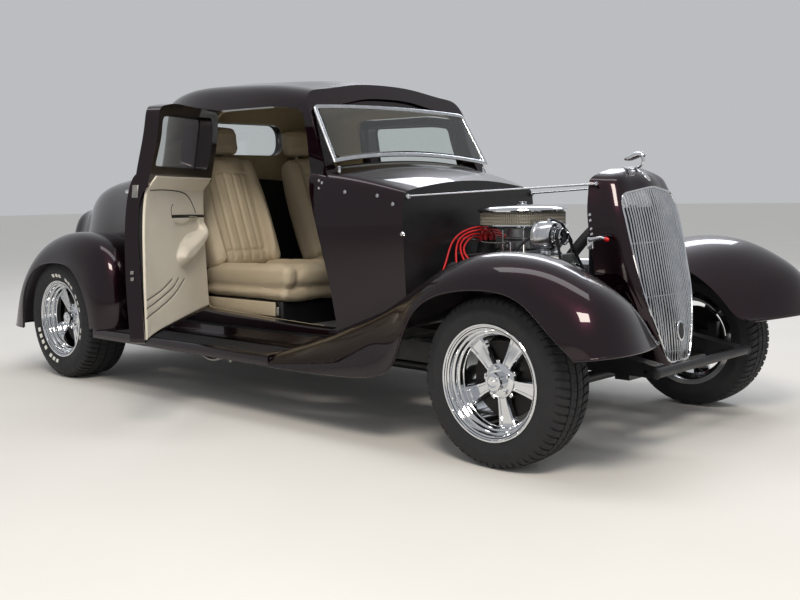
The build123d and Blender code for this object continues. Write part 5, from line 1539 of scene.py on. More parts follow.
def belt(x, circles, width):
    """Belt round pulleys listed counter-clockwise: on each circle an arc between its two outer tangents.

    The tangent from one circle to the next touches both at the angle of the line between their middles,
    turned back a quarter and on by the angle whose sine is the difference of the radii over the distance.
    """
    middle = np.array([circle[:2] for circle in circles], float)
    radius = np.array([circle[2] for circle in circles], float)
    ahead = np.roll(middle, -1, 0) - middle
    reach = np.linalg.norm(ahead, axis=1)
    leave = np.arctan2(ahead[:, 1], ahead[:, 0]) - math.pi / 2 + np.arcsin(
        (radius - np.roll(radius, -1)) / reach
    )
    arrive = np.roll(leave, 1)
    outline = []
    for k in range(len(circles)):
        turn = np.linspace(0, (leave[k] - arrive[k]) % turn_once, 18) + arrive[k]
        outline.append(middle[k] + radius[k] * np.column_stack([np.cos(turn), np.sin(turn)]))
    outline = metres(np.concatenate(outline))
    rings = [
        (x, outline), (x + width, outline), (x + width - 1.5, grown(outline, -0.007)),
        (x + 1.5, grown(outline, -0.007)),
    ]
    return closed_rings(
        np.array([np.column_stack([np.full(len(ring), at / 1000), ring]) for at, ring in rings])
    )


belts = joined([
    belt(1326, [(0, 560, 65), (0, 370, 75)], 12),
    belt(1312, [(0, 370, 75), (0, 560, 58), (-150, 780, 33)], 11),
])
piece("drive_belts", belts, "car", trim_black, (), 40)
blades = []
for k in range(6):
    grid = []
    for r, width, twist in (
        (30, 44, 0.55), (60, 52, 0.5), (110, 60, 0.42), (160, 64, 0.34), (182, 58, 0.3), (189, 46, 0.28),
    ):
        s = np.linspace(-0.5, 0.5, 7) * width
        grid.append(
            np.stack(
                [1373 + s * math.sin(twist) + 0.004 * s**2, s * math.cos(twist), np.full(7, float(r))], -1,
            )
        )
    blade = thick(metres(np.array(grid)), 0.0018)
    blades.append(repeated(blade, [Matrix.Rotation(k * turn_once / 6, 4, "X")]))
fan = joined(
    blades + [
        lathe(
            metres([(0, 36), (4, 38), (8, 36), (9, 20), (16, 20), (17, 2)]), metres((1366, 0, 0)),
            (1, 0, 0), 36,
        )
    ]
)
piece("cooling_fan", (fan[0] + metres((0, 0, 560)), fan[1]), "car", chrome, (), 40)

# Hoses with their clips, and the cables and lines along the engine
top_hose = curve(
    metres([
        (1232, 0, 660), (1262, 6, 700), (1330, 40, 790), (1400, 70, 850), (1470, 80, 870), (1512, 80, 874),
    ]),
    36,
)
low_hose = curve(
    metres([(1356, 128, 440), (1400, 150, 420), (1480, 150, 425), (1570, 130, 430), (1606, 120, 430)]), 30,
)
piece(
    "radiator_hoses", joined([tube(top_hose, 0.023, 20), tube(low_hose, 0.024, 20)]), "car", trim_black,
    (), 40,
)
clips = [tube(line[k:k + 3], 0.0255, 24) for line in (top_hose, low_hose) for k in (1, len(line) - 5)]
piece("hose_clips", joined(clips), "car", zinc, (), 30)
cable = [
    tube(curve(metres(points), 30), radius / 1000, 8)
    for radius, points in (
        (
            6,
            (
                (1204, -170, 790), (1150, -200, 740), (1080, -215, 660), (960, -200, 640), (820, -210, 640),
                (742, -230, 620),
            ),
        ),
        (4.5, ((741, -120, 700), (800, -110, 690), (860, -60, 700), (930, -50, 720))),
        (7, ((741, 180, 660), (800, 190, 640), (860, 205, 560), (850, 215, 470))),
        (5, ((741, -300, 560), (800, -330, 520), (900, -345, 480), (1180, -350, 420))),
    )
]
piece("engine_cables", joined(cable), "car", trim_black, (), 40)

# Stay rods with eyes and bolts at both ends
rods = []
for side in (1, -1):
    start = metres((741, side * 425, 948))
    end = metres((1524, side * 228, 981.5))
    rods.append(tube(np.array([start, (start + end) / 2, end]), 0.0037, 14))
    rods.append(hexagon(0.017, 0.014, start - metres((1, 0, 0)), (1, 0, 0)))
    rods.append(block(start + metres((9, 0, -3)), metres((20, 14, 18)), 0.004))
    rods.append(hexagon(0.015, 0.010, end, end - start))
piece("stay_rod_bars", joined(rods), "car", chrome, ("stay_rods",), 30)

# Latches: a lever on the radiator shell's back edge and a knob on the firewall's, on each side
levers = []
grips = []
for side in (1, -1):
    levers.append(
        tube(
            metres([
                (1514, side * 251, 772), (1528, side * 262, 776), (1572, side * 264, 784),
                (1590, side * 262, 780),
            ]),
            (0.006, 0.009, 0.008, 0.005), 14,
        )
    )
    levers.append(block(metres((1516, side * 249, 762)), metres((26, 8, 44)), 0.003))
    levers.append(
        lathe(
            metres([(0, 11), (6, 11), (10, 7), (11, 1)]), metres((738, side * 447, 792)), (0, side, 0), 24,
        )
    )
    grips.append(
        tube(
            metres([(1588, side * 262, 780.5), (1596, side * 261, 778), (1602, side * 259, 775)]),
            (0.008, 0.009, 0.006), 14,
        )
    )
piece("bonnet_latches", joined(levers), "car", chrome, (), 32)
piece("bonnet_latch_grips", joined(grips), "car", lead_red, (), 40)


# Seats, in millimetres on the left side: stuffed pads grown into one, blown up in their cover, then sewn
def stuffed(path, wide, deep, cap=36):
    """Pad along a path: rings of a high-order ellipse stand square to it, with half-widths and half-depths.

    Both ends are turned in as a quarter circle of the cap's size.
    """
    power = 3.0
    rows = 34
    sides = 64
    path = np.asarray(path, float)
    keys = chord_keys(path)
    total = np.linalg.norm(np.diff(path, axis=0), axis=1).sum()
    at = 0.5 - 0.5 * np.cos(np.linspace(0, math.pi, rows))
    centre = spline(keys, path, at)
    half_wide = spline(keys, np.broadcast_to(np.asarray(wide, float), len(path)), at)
    half_deep = spline(keys, np.broadcast_to(np.asarray(deep, float), len(path)), at)
    side = np.array((0.0, 1.0, 0.0))
    front = unit(np.cross(np.gradient(centre, axis=0), side))
    end = np.minimum(at, 1 - at) * total
    drawn = cap * (1 - np.sqrt(1 - (1 - np.minimum(end / cap, 1)) ** 2))
    turn = np.linspace(0, turn_once, sides, endpoint=False)
    cos = np.sign(np.cos(turn)) * np.abs(np.cos(turn)) ** (2 / power)
    sin = np.sign(np.sin(turn)) * np.abs(np.sin(turn)) ** (2 / power)
    ring = (half_wide - drawn)[:, None, None] * cos[None, :, None] * side
    ring = ring + (half_deep - drawn)[:, None, None] * sin[None, :, None] * front[:, None]
    return barrel(metres(centre[:, None] + ring))


def with_modifier(shape, kind, **settings):
    """Shape after one modifier with its settings."""
    made = raw_object(shape)
    modifier = made.modifiers.new("step", kind)
    for key, value in settings.items():
        setattr(modifier, key, value)
    return read_shape(made)


def blown_up(shape, voxel, reach):
    """Pads grown into one even skin, then swelled as cloth under pressure; no point moves past the reach.
    """
    even = with_modifier(shape, "REMESH", mode="VOXEL", voxel_size=voxel)
    made = raw_object(even)
    cloth = made.modifiers.new("cloth", "CLOTH")
    cloth.settings.use_pressure = True
    cloth.settings.uniform_pressure_force = 4
    cloth.settings.effector_weights.gravity = 0
    cloth.point_cache.frame_start = 1
    cloth.point_cache.frame_end = 20
    for number in range(1, 21):
        bpy.context.scene.frame_set(number)
    swelled = read_shape(made)
    bpy.context.scene.frame_set(1)
    move = swelled[0] - even[0]
    length = np.linalg.norm(move, axis=1, keepdims=True)
    even = even[0] + move * np.minimum(1, reach / np.maximum(length, 1e-9)), even[1]
    return with_modifier(even, "SUBSURF", levels=1, render_levels=1)


def line_distance(points, line):
    """Distance of flat points from a line of straight runs: the least over its runs."""
    line = np.asarray(line, float)
    best = np.full(points.shape[:-1], np.inf)
    for start, end in zip(line[:-1], line[1:]):
        run = end - start
        share = np.clip((points - start) @ run / (run @ run), 0, 1)
        best = np.minimum(best, np.linalg.norm(points - start - share[..., None] * run, axis=-1))
    return best


def sewn(shape, axes, facing, lines, depth, width):
    """Channels pressed into a pad: points that face one way go in by the depth, less away from a line.

    The press is a bell curve of the width, on the pad seen flat along the two axes.
    """
    points, faces = shape
    quad = np.array([face[:4] for face in faces])
    normal = np.zeros_like(points)
    cross = np.cross(points[quad[:, 2]] - points[quad[:, 0]], points[quad[:, 3]] - points[quad[:, 1]])
    for corner in range(4):
        np.add.at(normal, quad[:, corner], cross)
    normal = unit(normal)
    if np.mean(np.sum(normal * (points - points.mean(0)), 1)) < 0:
        normal = -normal
    flat = points @ np.array(axes, float).T
    press = sum(np.exp(-((line_distance(flat, metres(line)) / width) ** 2)) for line in lines)
    share = np.clip(normal @ unit(np.array(facing, float)) * 3 - 0.6, 0, 1)
    return points - normal * (depth * np.minimum(press, 1) * share)[:, None], faces


cushion_pads = joined([
    stuffed(((-585, 318, 512), (72, 318, 512)), 222, 36, 30),
    stuffed(((-560, 318, 570), (-300, 318, 566), (0, 318, 586), (96, 318, 584)), 150, (38, 38, 46, 44)),
    stuffed(((-555, 497, 580), (-250, 499, 584), (90, 496, 592)), 45, (42, 50, 48), 34),
    stuffed(((-555, 139, 580), (-250, 137, 584), (90, 140, 592)), 44, (42, 50, 48), 34),
])
cushion = blown_up(cushion_pads, voxel=0.011, reach=0.010)
cushion_lines = [((-440, y), (40, y)) for y in (238, 292, 344, 398)] + [((40, 200), (40, 436))]
cushion = sewn(cushion, ((1, 0, 0), (0, 1, 0)), (0.2, 0, 1), cushion_lines, depth=0.007, width=0.007)
back_pads = joined([
    stuffed(
        ((-508, 318, 596), (-578, 318, 790), (-654, 312, 1000), (-712, 300, 1164)), (150, 152, 150, 136),
        56, 40,
    ),
    stuffed(
        ((-486, 496, 606), (-556, 499, 780), (-640, 490, 985), (-706, 446, 1150)), 43, (64, 70, 66, 52), 38,
    ),
    stuffed(
        ((-486, 140, 606), (-556, 138, 780), (-640, 142, 985), (-706, 158, 1150)), 42, (64, 70, 66, 52), 38,
    ),
])
back = blown_up(back_pads, voxel=0.011, reach=0.010)
back_lines = [((y, 650), (y, 1075)) for y in (236, 290, 344, 398)]
back_lines += [((200, 1075), (318, 1086), (436, 1075)), ((205, 690), (431, 690))]
back = sewn(back, ((0, 1, 0), (0, 0, 1)), (1, 0, 0.36), back_lines, depth=0.007, width=0.007)
head_pad = stuffed(((-730, 288, 1173), (-746, 288, 1245), (-752, 288, 1316)), 120, 52, 36)
head_pad = blown_up(head_pad, voxel=0.010, reach=0.006)
head_lines = [((180, 1200), (396, 1200)), ((180, 1292), (396, 1292))]
head_pad = sewn(head_pad, ((0, 1, 0), (0, 0, 1)), (1, 0, 0.2), head_lines, depth=0.004, width=0.006)
for word, side in both_sides:
    for name, pad, softness, replaced in (
        ("seat_cushion", cushion, 0.85, ("seat_cushions",)),
        ("seat_back", back, 0.85, ("seat_backs",)),
        ("seat_headrest", head_pad, 0.9, ()),
    ):
        made = piece(f"{name}_{word}", on_side(pad, side), "car", tan, replaced, 60)
posts = joined([tube(metres(((-718, y, 1140), (-730, y, 1200))), 0.006, 12) for y in (238, 338)])
piece("seat_headrest_posts", both(posts), "car", chrome)

# Seat bases: a satin black plinth whose dark front is painted shade where the seat's front lies in shadow, a
# leather skirt along each side and a bright runner with its stop
plinth = plate(rectangle(0.560, 0.400, 0.02), 0.356, 0.474, 0.004)
plinth = placed(plinth, metres((-250, 318, 0)))
skirts = [block(metres((-272, y, 438)), metres((536, 12, 66)), 0.005) for y in (108, 528)]
runners = [block(metres((-250, y, 372)), metres((600, 22, 26)), 0.003) for y in (170, 466)]
stops = [block(metres((6, 523, 428)), metres((26, 16, 44)), 0.006)]
# The plinth's black front is painted shade, not the base's own colour
piece("seat_base_plinths", both(plinth), "car", satin, ("seat_bases",))
piece("seat_base_skirts", both(joined(skirts)), "car", tan)
piece("seat_base_runners", both(joined(runners + stops)), "car", zinc)

# Door trims: a panel on the inner wall, raised and sunk along lines given in millimetres of x and height
trim_front = np.array(((272, 1046), (332, 811), (378, 600), (402, 400)), float)
trim_rows = 150
trim_columns = 200
wall_x = np.linspace(-480, 430, 60) / 1000
wall_z = np.linspace(380, 1010, 64) / 1000
wall_grid = station_surface(
    body_net(inner_rows(), wall + lining), wall_x, 121,
)[:, :61]
wall_table = np.array([np.interp(wall_z, line[:, 2], line[:, 1]) for line in wall_grid])


def inner_wall(x, z):
    """Half-width of the lined wall at points in metres, read between the four nearest of a table."""
    column = np.clip((x - wall_x[0]) / (wall_x[1] - wall_x[0]), 0, len(wall_x) - 1.001)
    row = np.clip((z - wall_z[0]) / (wall_z[1] - wall_z[0]), 0, len(wall_z) - 1.001)
    i, j = column.astype(int), row.astype(int)
    s, t = column - i, row - j
    near = wall_table[i, j] * (1 - t) + wall_table[i, j + 1] * t
    far = wall_table[i + 1, j] * (1 - t) + wall_table[i + 1, j + 1] * t
    return near * (1 - s) + far * s


def ease(value):
    """Smooth step from 0 to 1."""
    value = np.clip(value, 0, 1)
    return value * value * (3 - 2 * value)


def inside_depth(points, outline):
    """How deep flat points lie inside a closed outline, and 0 outside it."""
    outline = np.asarray(outline, float)
    inside = np.zeros(points.shape[:-1], bool)
    for start, end in zip(outline, np.roll(outline, -1, 0)):
        crosses = (start[1] > points[..., 1]) != (end[1] > points[..., 1])
        rise = np.where(np.abs(end[1] - start[1]) < 1e-9, 1e-9, end[1] - start[1])
        inside ^= crosses & (
            points[..., 0] < start[0] + (points[..., 1] - start[1]) * (end[0] - start[0]) / rise
        )
    return np.where(inside, line_distance(points, np.concatenate([outline, outline[:1]])), 0)


arm_outline = curve(((-448, 846), (-330, 806), (-200, 770), (-100, 738), (-66, 700), (-88, 664), (-170, 650),
                     (-290, 680), (-390, 722), (-448, 760)), 60)
pocket_outline = curve(
    ((-66, 858), (-220, 850), (-400, 838), (-404, 824), (-300, 790), (-190, 764), (-120, 746), (-84, 780)),
    50,
)
slot_outline = ((-38, 885), (-33, 868), (-448, 862), (-450, 877))
top_line = curve(
    ((242, 989), (94, 991), (-39, 989), (-157, 982), (-235, 968), (-291, 939), (-326, 909), (-346, 886)),
    60,
)
hook_line = curve(((-61, 928), (-46, 922), (-36, 908), (-36, 896), (-40, 884)), 16)
sweep_lines = [
    curve(((369, 552), (239, 559), (117, 576), (1, 607)), 40),
    curve(((379, 520), (229, 529), (83, 552), (-26, 579), (-82, 606)), 40),
    curve(((390, 484), (239, 493), (72, 519), (-62, 556), (-158, 599)), 40),
]


def trim_rise(flat):
    """Rise of the panel at flat points, in millimetres: an arm rest, a sunk pull, a slot and five grooves."""
    pocket = ease(inside_depth(flat, pocket_outline) / 12)
    rise = 34 * ease(inside_depth(flat, arm_outline) / 42) ** 0.7 * (1 - pocket)
    rise = rise - 12 * pocket - 7 * ease(inside_depth(flat, slot_outline) / 5)
    for line in [top_line, hook_line, *sweep_lines]:
        rise = rise - 2.6 * np.exp(-((line_distance(flat, line) / 4.5) ** 2))
    return np.maximum(rise, -8) + 4


def trim_points(x, z, rise):
    """Left trim at flat places, in millimetres: raised on a flatter sheet by the wall, and on the wall."""
    level = np.minimum(z, 990)
    width = inner_wall(x / 1000, level / 1000) * 1000
    flatter = 0.35 * width + 0.65 * inner_wall(x / 1000, 0 * z + 0.445) * 1000 - 0.75 * (z - level)
    return metres(np.stack([x, flatter - rise, z], -1)), metres(np.stack([x, width + 7, z], -1))


across_share, up_share = np.meshgrid(np.linspace(0, 1, trim_columns), np.linspace(0, 1, trim_rows))
flat_z = 445 + up_share * 601
for _ in range(3):
    edge_x = np.interp(-flat_z, -trim_front[:, 1], trim_front[:, 0])
    flat_x = -450 + across_share * (edge_x + 450)
    low_z = 445 - 45 * (flat_x + 450) / 852
    flat_z = low_z + up_share * (1046 - low_z)
trim_flat = np.stack([flat_x, flat_z], -1)
trim_border = np.minimum(np.minimum(across_share * 800, (1 - across_share) * 800),
                         np.minimum(up_share * 620, (1 - up_share) * 620))
rise = trim_rise(trim_flat) - 4 * (1 - ease(trim_border / 7 + 0.2))
trim_back, trim_wall = trim_points(flat_x, flat_z, np.full_like(rise, -6.0))
trim_panel = between(trim_points(flat_x, flat_z, rise)[0], trim_back)
trim_filler = between(trim_back[::6, ::6], trim_wall[::6, ::6])
welts = []
for line, size in [(top_line, 2.4), (hook_line, 2.2)] + [(line, 1.7) for line in sweep_lines]:
    lift = trim_rise(line) + 0.6
    welts.append(tube(trim_points(line[:, 0], line[:, 1], lift)[0], size / 1000, 8))
# A black bar laid in the armrest's slot is painted shade: it stands for the dark inside of the slot
slot_bar = curve(((-44, 876), (-200, 873), (-444, 868)), 12)
slot_shade_bar = tube(trim_points(slot_bar[:, 0], slot_bar[:, 1], np.full(12, 0.5))[0], 0.0075, 12, False, 0.5)
pull = curve(((-250, 872), (-300, 870), (-350, 868)), 8)
pull_bar = tube(trim_points(pull[:, 0], pull[:, 1], np.full(8, 6.0))[0], 0.0035, 10)


def on_door(shape, side):
    """Left door's shape on the door of one side, as that door stands."""
    return swung(on_side(shape, side), side)


for word, side in both_sides:
    body = f"door_{word}"
    name = f"door_trim_{word}"
    piece(f"{name}_panel", on_door(trim_panel, side), body, ivory, (name,), 50)
    piece(f"{name}_filler", on_door(trim_filler, side), body, trim_black)
    # The welts piece also holds the slot's black bar, which is painted shade
    piece(f"{name}_welts", on_door(joined(welts + [slot_shade_bar]), side), body, trim_black)
    piece(f"{name}_pull", on_door(pull_bar, side), body, chrome)

# Lining: the cabin's inner skin, open at the doors, the screen and the rear window
lining_front = side_prism(metres(((300, 900), (150, 1600), (900, 1600), (900, 900))), -0.7, 0.7, 1)
lining_box = side_prism(metres(((-879.7, 386), (-879.7, 1600), (330, 1600), (330, 386))), -0.8, 0.8, 1)
lining_skin = carved(
    skin_form, ("INTERSECT", lining_box), ("DIFFERENCE", lining_front), ("DIFFERENCE", rear_window),
    *[("DIFFERENCE", cut) for cut in door_cuts],
)
piece("headliner", lining_skin, "car", headliner, ("cabin_lining",), 34)

# Steering wheel: a leather-bound ring with finger swells, three flat spokes and a dished hub
wheel_centre = np.array((0.070, 0.330, 0.925))
column_slope = math.radians(28)
column_run = np.array((math.cos(column_slope), 0, -math.sin(column_slope)))
ring_up = np.cross((0, 1, 0), column_run) * -1
ring_turn = np.linspace(0, turn_once, 96, endpoint=False)
ring_path = ellipse(0.178, 0.178, 96) @ np.array((ring_up, (0, 1.0, 0)))
ring_size = 0.0125 + 0.0008 * np.cos(32 * ring_turn)
steering_ring = tube(ring_path + wheel_centre, ring_size, 16, True)
spoke_parts = []
for angle in (100, 180, 260):
    run = math.cos(math.radians(angle)) * ring_up + math.sin(math.radians(angle)) * np.array((0, 1.0, 0))
    bar = plate(rounded(metres(((22, -11), (172, -15), (172, 15), (22, 11))), 0.004), -0.002, 0.002, 0.001, 3)
    spoke_parts.append(placed(bar, wheel_centre, run, np.cross(column_run, run)))
hub_profile = metres(((-11, 1), (-13, 14), (-10, 24), (-4, 32), (6, 34), (9, 30), (9, 1)))
steering_hub = lathe(hub_profile, wheel_centre, column_run, 48)
piece("steering_ring", steering_ring, "steering_wheel", tan, ("steering_wheel",), 50)
piece(
    "steering_spokes", joined(spoke_parts + [steering_hub]), "steering_wheel", polished,
)

# Dials on the dashboard: bare faces in bright rims, with a needle each
dial_rims = []
dial_faces = []
needles = []
for y, size in ((0.26, 46), (0.37, 46), (0.17, 27), (0.46, 27), (0.07, 27)):
    place = np.array((0.350, y, 0.925))
    dial_rims.append(
        lathe(
            metres(((0, size - 4), (0, size), (5, size), (7, size - 2), (5, size - 5), (1, size - 5))),
            place, (-1, 0, 0), 48, True,
        )
    )
    dial_faces.append(lathe(metres(((-0.5, size - 4), (1.5, size - 4), (1.5, 1))), place, (-1, 0, 0), 48))
    tip = place + metres((-3, 0.5 * size, 0.5 * size))
    needles.append(tube(np.array((place - (0.003, 0, 0), tip)), 0.0008, 6))
piece("dial_rims", joined(dial_rims), "car", chrome)
piece("dial_faces", joined(dial_faces), "car", trim_black)
piece("dial_needles", joined(needles), "car", white_rubber)


def side_at(x, z, inset=0.0):
    """Half-width of the lower body at one station and height, read from its section."""
    row = station_surface(body_net(body_table, inset), np.array((x, x + 0.001)), 161)[0, :81]
    return float(np.interp(z, row[:, 2], row[:, 1]))


def top_at(x, y):
    """Height of the lower body's top at one station and width, read from its section."""
    row = station_surface(body_net(body_table, 0), np.array((x, x + 0.001)), 161)[0, 40:121]
    return float(np.interp(-y, -row[:, 1], row[:, 2]))


# Windscreen: a rubber seat under it, the weather strip on the cowl and a clamp at each lower corner
strip_y = np.linspace(-0.522, 0.522, 50)
strip_x = 0.402 - 0.050 * (strip_y / 0.522) ** 2
strip = np.array([(x, y, top_at(x, y) + 0.001) for x, y in zip(strip_x, strip_y)])
piece("cowl_weather_strip", tube(strip, 0.004, 8), "car", zinc)
seat_path = []
for y in np.linspace(-0.495, 0.495, 30):
    seat_path.append((0.383 - 0.036 * (y / 0.52) ** 2, y, top_at(0.383 - 0.036 * (y / 0.52) ** 2, y) + 0.003))
piece("windscreen_seat", tube(np.array(seat_path), 0.007, 10), "car", trim_black)
clamps = []
for side in (1, -1):
    foot = (0.404, side * 0.486, top_at(0.404, side * 0.486))
    clamps.append(
        lathe(
            metres(((-3, 8), (3, 8), (5, 6), (14, 5), (16, 7), (22, 7), (24, 4), (24, 1))), foot, (0, 0, 1),
            28,
        )
    )
piece("windscreen_clamps", joined(clamps), "car", chrome)

# Windscreen frame: a rounded bar round the pane, in the screen's own plane, and a header over it
screen_lean = math.radians(30.4)
screen_origin = metres((254, 0, 1356))
screen_up = np.array((-math.sin(screen_lean), 0, math.cos(screen_lean)))
screen_out = np.array((math.cos(screen_lean), 0, math.sin(screen_lean)))
side_share = np.concatenate([[-1], np.linspace(-0.84, 0.84, 21), [1]])
top_edge = np.column_stack([504 * side_share, 12 - 18 * side_share**2])
low_edge = np.column_stack([-519 * side_share, -263 - 42 * side_share**2])
corner_reach = [36] + [0.01] * 21 + [36, 9] + [0.01] * 21 + [9]
screen_edge = metres(rounded(np.concatenate([top_edge, low_edge]), corner_reach, 7))


def on_screen(flat, out):
    """Points of the screen's plane: across and up it, and out from it."""
    return screen_origin + flat[:, :1] * (0, 1, 0) + flat[:, 1:] * screen_up + np.multiply(out, screen_out)


frame_rings = [
    on_screen(grown(screen_edge, across - 0.011), out) for across, out in ellipse(0.011, 0.0065, 16)
]
piece(
    "windscreen_bar", closed_rings(np.array(frame_rings)), "windshield", polished,
    ("windshield_frame",), 50,
)
header_low = np.column_stack([0.46 * side_share, 0.012 - 0.018 * (0.46 / 0.504 * side_share) ** 2 + 0.004])
header_high = header_low + np.column_stack([0 * side_share, 0.052 * (1 - 0.85 * side_share**2)])
header = np.array([
    [
        screen_origin + (-0.020 - 0.445 * b, a, b)
        for a, b in (low + (high - low) * k / 5 for low, high in zip(header_low, header_high))
    ]
    for k in range(6)
])
piece("windscreen_header", thick(header, 0.006), "car", paint)

# Cowl sides: bonnet rest studs, the pillar's screws and the radiator shell's flange bolts
studs = []
for side in (1, -1):
    for x, z in ((0.490, 0.968), (0.632, 0.950), (0.700, 0.915)):
        studs.append(hexagon(0.016, 0.010, (x, side * (side_at(x, z) - 0.002), z), (0, side, 0.15)))
    for x, z in ((0.355, 1.020), (0.372, 1.010), (0.362, 0.988)):
        studs.append(
            lathe(
                metres(((-2, 6), (3, 6), (5, 3.5), (5.4, 0.8))), (x, side * side_at(x, z), z), (0, side, 0),
                20,
            )
        )
    for z in (0.868, 0.847, 0.815, 0.795):
        x = np.interp(z, shell_table[:, 0], shell_table[:, 1]) + 0.009
        studs.append(hexagon(0.011, 0.007, (x, side * 0.240, z), (0, side, 0)))
    for x, y, z in ((0.215, 0.5180, 1.356), (0.205, 0.5225, 1.330)):
        studs.append(
            lathe(metres(((-3, 5), (2, 5), (4, 3), (4.3, 0.7))), (x, side * y, z), (0, side, 0.15), 20)
        )
piece("cowl_studs", joined(studs), "car", chrome)

# Radiator shell's top: a streamlined figure that leans forward over its foot, and a bare oval on the nose
piece(
    "radiator_ornament",
    joined([
        tube(
            curve(
                metres((
                    (1508, 0, 1076), (1534, 0, 1081), (1560, 0, 1090), (1580, 0, 1092), (1593, 0, 1084),
                )),
                30,
            ),
            0.0135 * np.sin(np.linspace(0.14, 2.75, 30)) ** 0.6, 14,
        ),
        tube(
            curve(
                metres((
                    (1586, 0, 1084), (1590, 0, 1066), (1580, 0, 1050), (1556, 0, 1042), (1528, 0, 1043),
                    (1498, 0, 1042),
                )),
                30,
            ),
            np.linspace(0.0062, 0.0035, 30), 12,
        ),
    ]),
    "car", chrome, ("ornament",), 40,
)
oval = plate(ellipse(0.013, 0.026), -0.004, 0.0045, 0.002)
piece("shell_oval", placed(oval, (1.601, 0, 1.008), (0, 1, 0), (-0.67, 0, 0.74)), "car", chrome)

# Door furniture: handles outside, strikers on the free edge, rubber channels round the panes
glass_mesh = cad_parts["door_glass_left"].data
glass_points = np.zeros(len(glass_mesh.vertices) * 3)
glass_mesh.vertices.foreach_get("co", glass_points)
glass_points = glass_points.reshape(-1, 3)
plane_rows = np.column_stack([np.ones(len(glass_points)), glass_points[:, 0], glass_points[:, 2]])
pane_plane = np.linalg.lstsq(plane_rows, glass_points[:, 1], rcond=None)[0]
channel = np.column_stack([
    window_outline[:, 0],
    pane_plane[0] + pane_plane[1] * window_outline[:, 0] + pane_plane[2] * window_outline[:, 1],
    window_outline[:, 1],
])
handle_y = side_at(0.150, 0.985)
handle_path = curve(
    (
        (0.196, handle_y - 0.004, 0.985), (0.194, handle_y + 0.030, 0.985),
        (0.176, handle_y + 0.041, 0.985), (0.120, handle_y + 0.044, 0.984),
        (0.066, handle_y + 0.040, 0.981),
    ),
    26,
)
handle_size = np.interp(np.linspace(0, 1, 26), (0, 0.2, 0.4, 0.8, 1), (0.009, 0.008, 0.0085, 0.0095, 0.006))
rose = lathe(
    metres(((-4, 17), (3, 17), (6, 13), (8, 10), (8, 1))), (0.196, handle_y - 0.001, 0.985), (0, 1, 0), 36,
)
strikers = []
for z, x, lean in ((0.985, 0.3085, 0.263), (0.665, 0.3905, 0.218), (0.640, 0.3955, 0.218)):
    size = (0.005, 0.026, 0.052) if z > 0.9 else (0.005, 0.014, 0.014)
    plated = block((0, 0, 0), size, 0.002)
    strikers.append(placed(plated, (x - 0.0015, side_at(x, z) - 0.028, z), (1, 0, lean), (0, 1, 0)))
handle = joined([tube(handle_path, handle_size, 16), rose])
for word, side in both_sides:
    body = f"door_{word}"
    piece(f"door_handle_{word}", on_door(handle, side), body, chrome)
    piece(f"door_strikers_{word}", on_door(joined(strikers), side), body, zinc)
    piece(f"door_channel_{word}", on_door(tube(channel, 0.0075, 10, True), side), body, trim_black)

# Rear window bead, tail lamp rims and the spreader bar's end caps
rear_ring = rectangle(0.530, 0.176, 0.080, 10)
rear_bead = tube(
    np.column_stack([np.full(len(rear_ring), -0.912), rear_ring[:, 0], rear_ring[:, 1] + 1.268]), 0.006, 10,
    True,
)
piece("rear_window_bead", rear_bead, "car", trim_black)
lamp_rims = [
    lathe(metres(((2, 41), (6, 45.5), (20, 46), (25, 44), (26.5, 41.5), (24, 40), (10, 41))),
          (-2.2165, side * 0.130, 0.610), (-1, 0, 0), 56, True)
    for side in (1, -1)
]
piece("tail_lamp_rims", joined(lamp_rims), "car", chrome)
caps = [
    lathe(
        metres(((-8, 17.4), (4, 20), (9, 19), (12, 14), (13, 1))), metres((1852, side * 345, 318)),
        (0, side, 0), 40,
    )
    for side in (1, -1)
]
piece("spreader_caps", joined(caps), "car", trim_black)

# Under the running boards: a drop bracket and two bolts on each side
under = []
for side in (1, -1):
    under.append(tube(curve(metres(((-420, side * 690, 262), (-300, side * 730, 226), (-190, side * 742, 214),
                                    (-130, side * 740, 232))), 20), 0.007, 12))
    under.append(hexagon(0.022, 0.012, metres((-120, side * 745, 236)), (0, side, 0)))
    under.append(hexagon(0.020, 0.012, metres((-60, side * 742, 226)), (0, side, 0)))
piece("board_brackets", joined(under), "car", zinc)

# Finishes of the CAD nodes that stay
kept_finishes = {
    "bulkhead": carpet, "floor_pan": carpet, "dashboard": tan, "rear_glass": clear_glass,
    "windshield_glass": clear_glass, "door_glass_left": clear_glass, "door_glass_right": clear_glass,
    "frame": satin, "radiator_core": satin, "engine_block": iron, "exhaust": satin, "rear_axle": satin,
    "front_axle": satin, "knuckle_left": satin, "knuckle_right": satin, "tie_rod": zinc,
    "steering_column": satin, "fuel_tank": satin, "tail_lamps": red_lens,
}
kept_finishes |= {f"brake_{end}_{word}": brake_steel for end, *_ in wheels for word, _ in both_sides}
for node, finish in kept_finishes.items():
    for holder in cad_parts[node].material_slots:
        holder.material = finish

# Camera: where the photograph was taken from, fitted to the wheels, the screen and the shell
camera_place = (3.6425, -3.4863, 0.9564)
camera_yaw, camera_pitch, camera_roll = np.radians((133.93, -5.93, -0.97)).tolist()
ahead = np.array((
    math.cos(camera_pitch) * math.cos(camera_yaw), math.cos(camera_pitch) * math.sin(camera_yaw),
    math.sin(camera_pitch),
))
level = unit(np.cross(ahead, (0, 0, 1)))
upright = np.cross(level, ahead)
across = math.cos(camera_roll) * level + math.sin(camera_roll) * upright
up = math.cos(camera_roll) * upright - math.sin(camera_roll) * level
camera = bpy.data.objects.new("camera", bpy.data.cameras.new("camera"))
camera.data.lens = 45.85
camera.data.sensor_width = 36
camera.matrix_world = Matrix.Translation(camera_place) @ Matrix(
    np.column_stack([across, up, -ahead]).tolist()
).to_4x4()
bpy.context.scene.collection.objects.link(camera)
bpy.context.scene.camera = camera


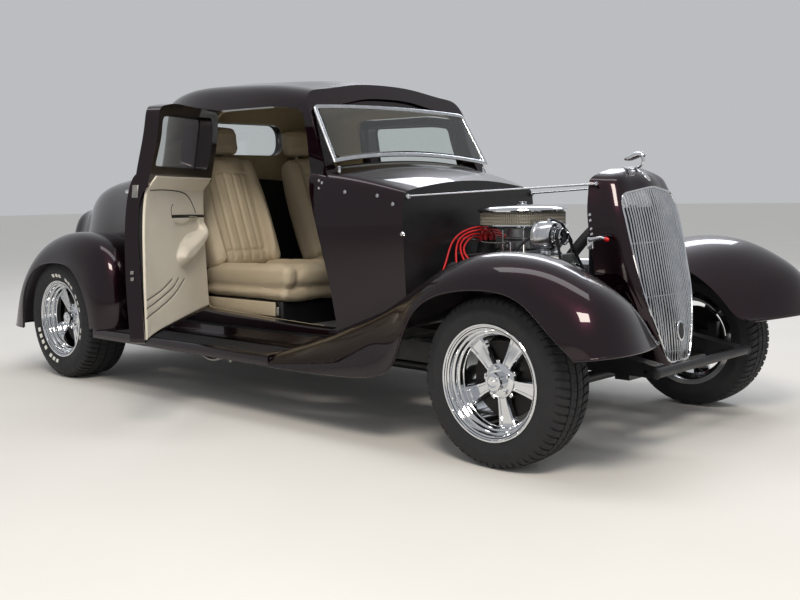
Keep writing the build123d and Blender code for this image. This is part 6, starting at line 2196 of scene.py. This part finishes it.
def soft_light(name, place, aim, size, power, tint="#FFFFFF"):
    """Rectangular soft box of a size in metres that faces a point."""
    light = bpy.data.lights.new(name, "AREA")
    light.shape = "RECTANGLE"
    light.size, light.size_y = size
    light.energy = power
    light.color = colour(tint)[:3]
    lamp = bpy.data.objects.new(name, light)
    lamp.matrix_world = Matrix.Translation(place) @ (
        (Vector(place) - Vector(aim)).to_track_quat("Z", "Y").to_matrix().to_4x4()
    )
    bpy.context.scene.collection.objects.link(lamp)


soft_light("key_box", (4.5, -4.5, 6.0), (0, 0, 0.5), (2.6, 1.6), 340, "#FFF6EA")
soft_light("rim_box", (-2.5, 5.5, 5.0), (0, 0, 0.8), (5.0, 1.6), 150, "#F2F6FF")
soft_light("top_box", (0.5, -1.0, 6.0), (0, 0, 0), (6.0, 1.4), 90)

# Floor: pale brushed concrete, seen as such in the gloss too
floor_finish = make_plain("pale_floor", "#DAD7D1", "#E2DFD9", 0.8, (0.85, 0.95))
floor_line = np.linspace(-60, 60, 25)
floor_grid = np.stack(np.meshgrid(floor_line, floor_line, indexing="ij"), -1).reshape(-1, 2)
floor_faces = quads(len(floor_line), len(floor_line)).tolist()
floor = raw_object((np.pad(floor_grid, ((0, 0), (0, 1))), floor_faces), "floor")
floor.data.materials.append(floor_finish)

# World: even soft light, and a pale background for the camera, for gloss and through glass
world = bpy.data.worlds.new("studio")
world.use_nodes = True
bpy.context.scene.world = world
tree = world.node_tree
tree.nodes.clear()
path = add_node(tree, "LightPath")
seen = add_node(
    tree, "Math", {0: path.outputs["Is Camera Ray"], 1: path.outputs["Is Glossy Ray"]}, operation="MAXIMUM",
)
seen = add_node(
    tree, "Math", {0: seen.outputs[0], 1: path.outputs["Is Transmission Ray"]}, operation="MAXIMUM",
)
lit = add_node(tree, "Background", {"Color": colour("#EEF1F6"), "Strength": 0.68})
shown = add_node(tree, "Background", {"Color": colour("#D9DBDE"), "Strength": 0.72})
blend = add_node(tree, "MixShader", {0: seen.outputs[0], 1: lit.outputs[0], 2: shown.outputs[0]})
add_node(tree, "OutputWorld", {"Surface": blend.outputs[0]})

bpy.context.scene.view_settings.view_transform = "Standard"
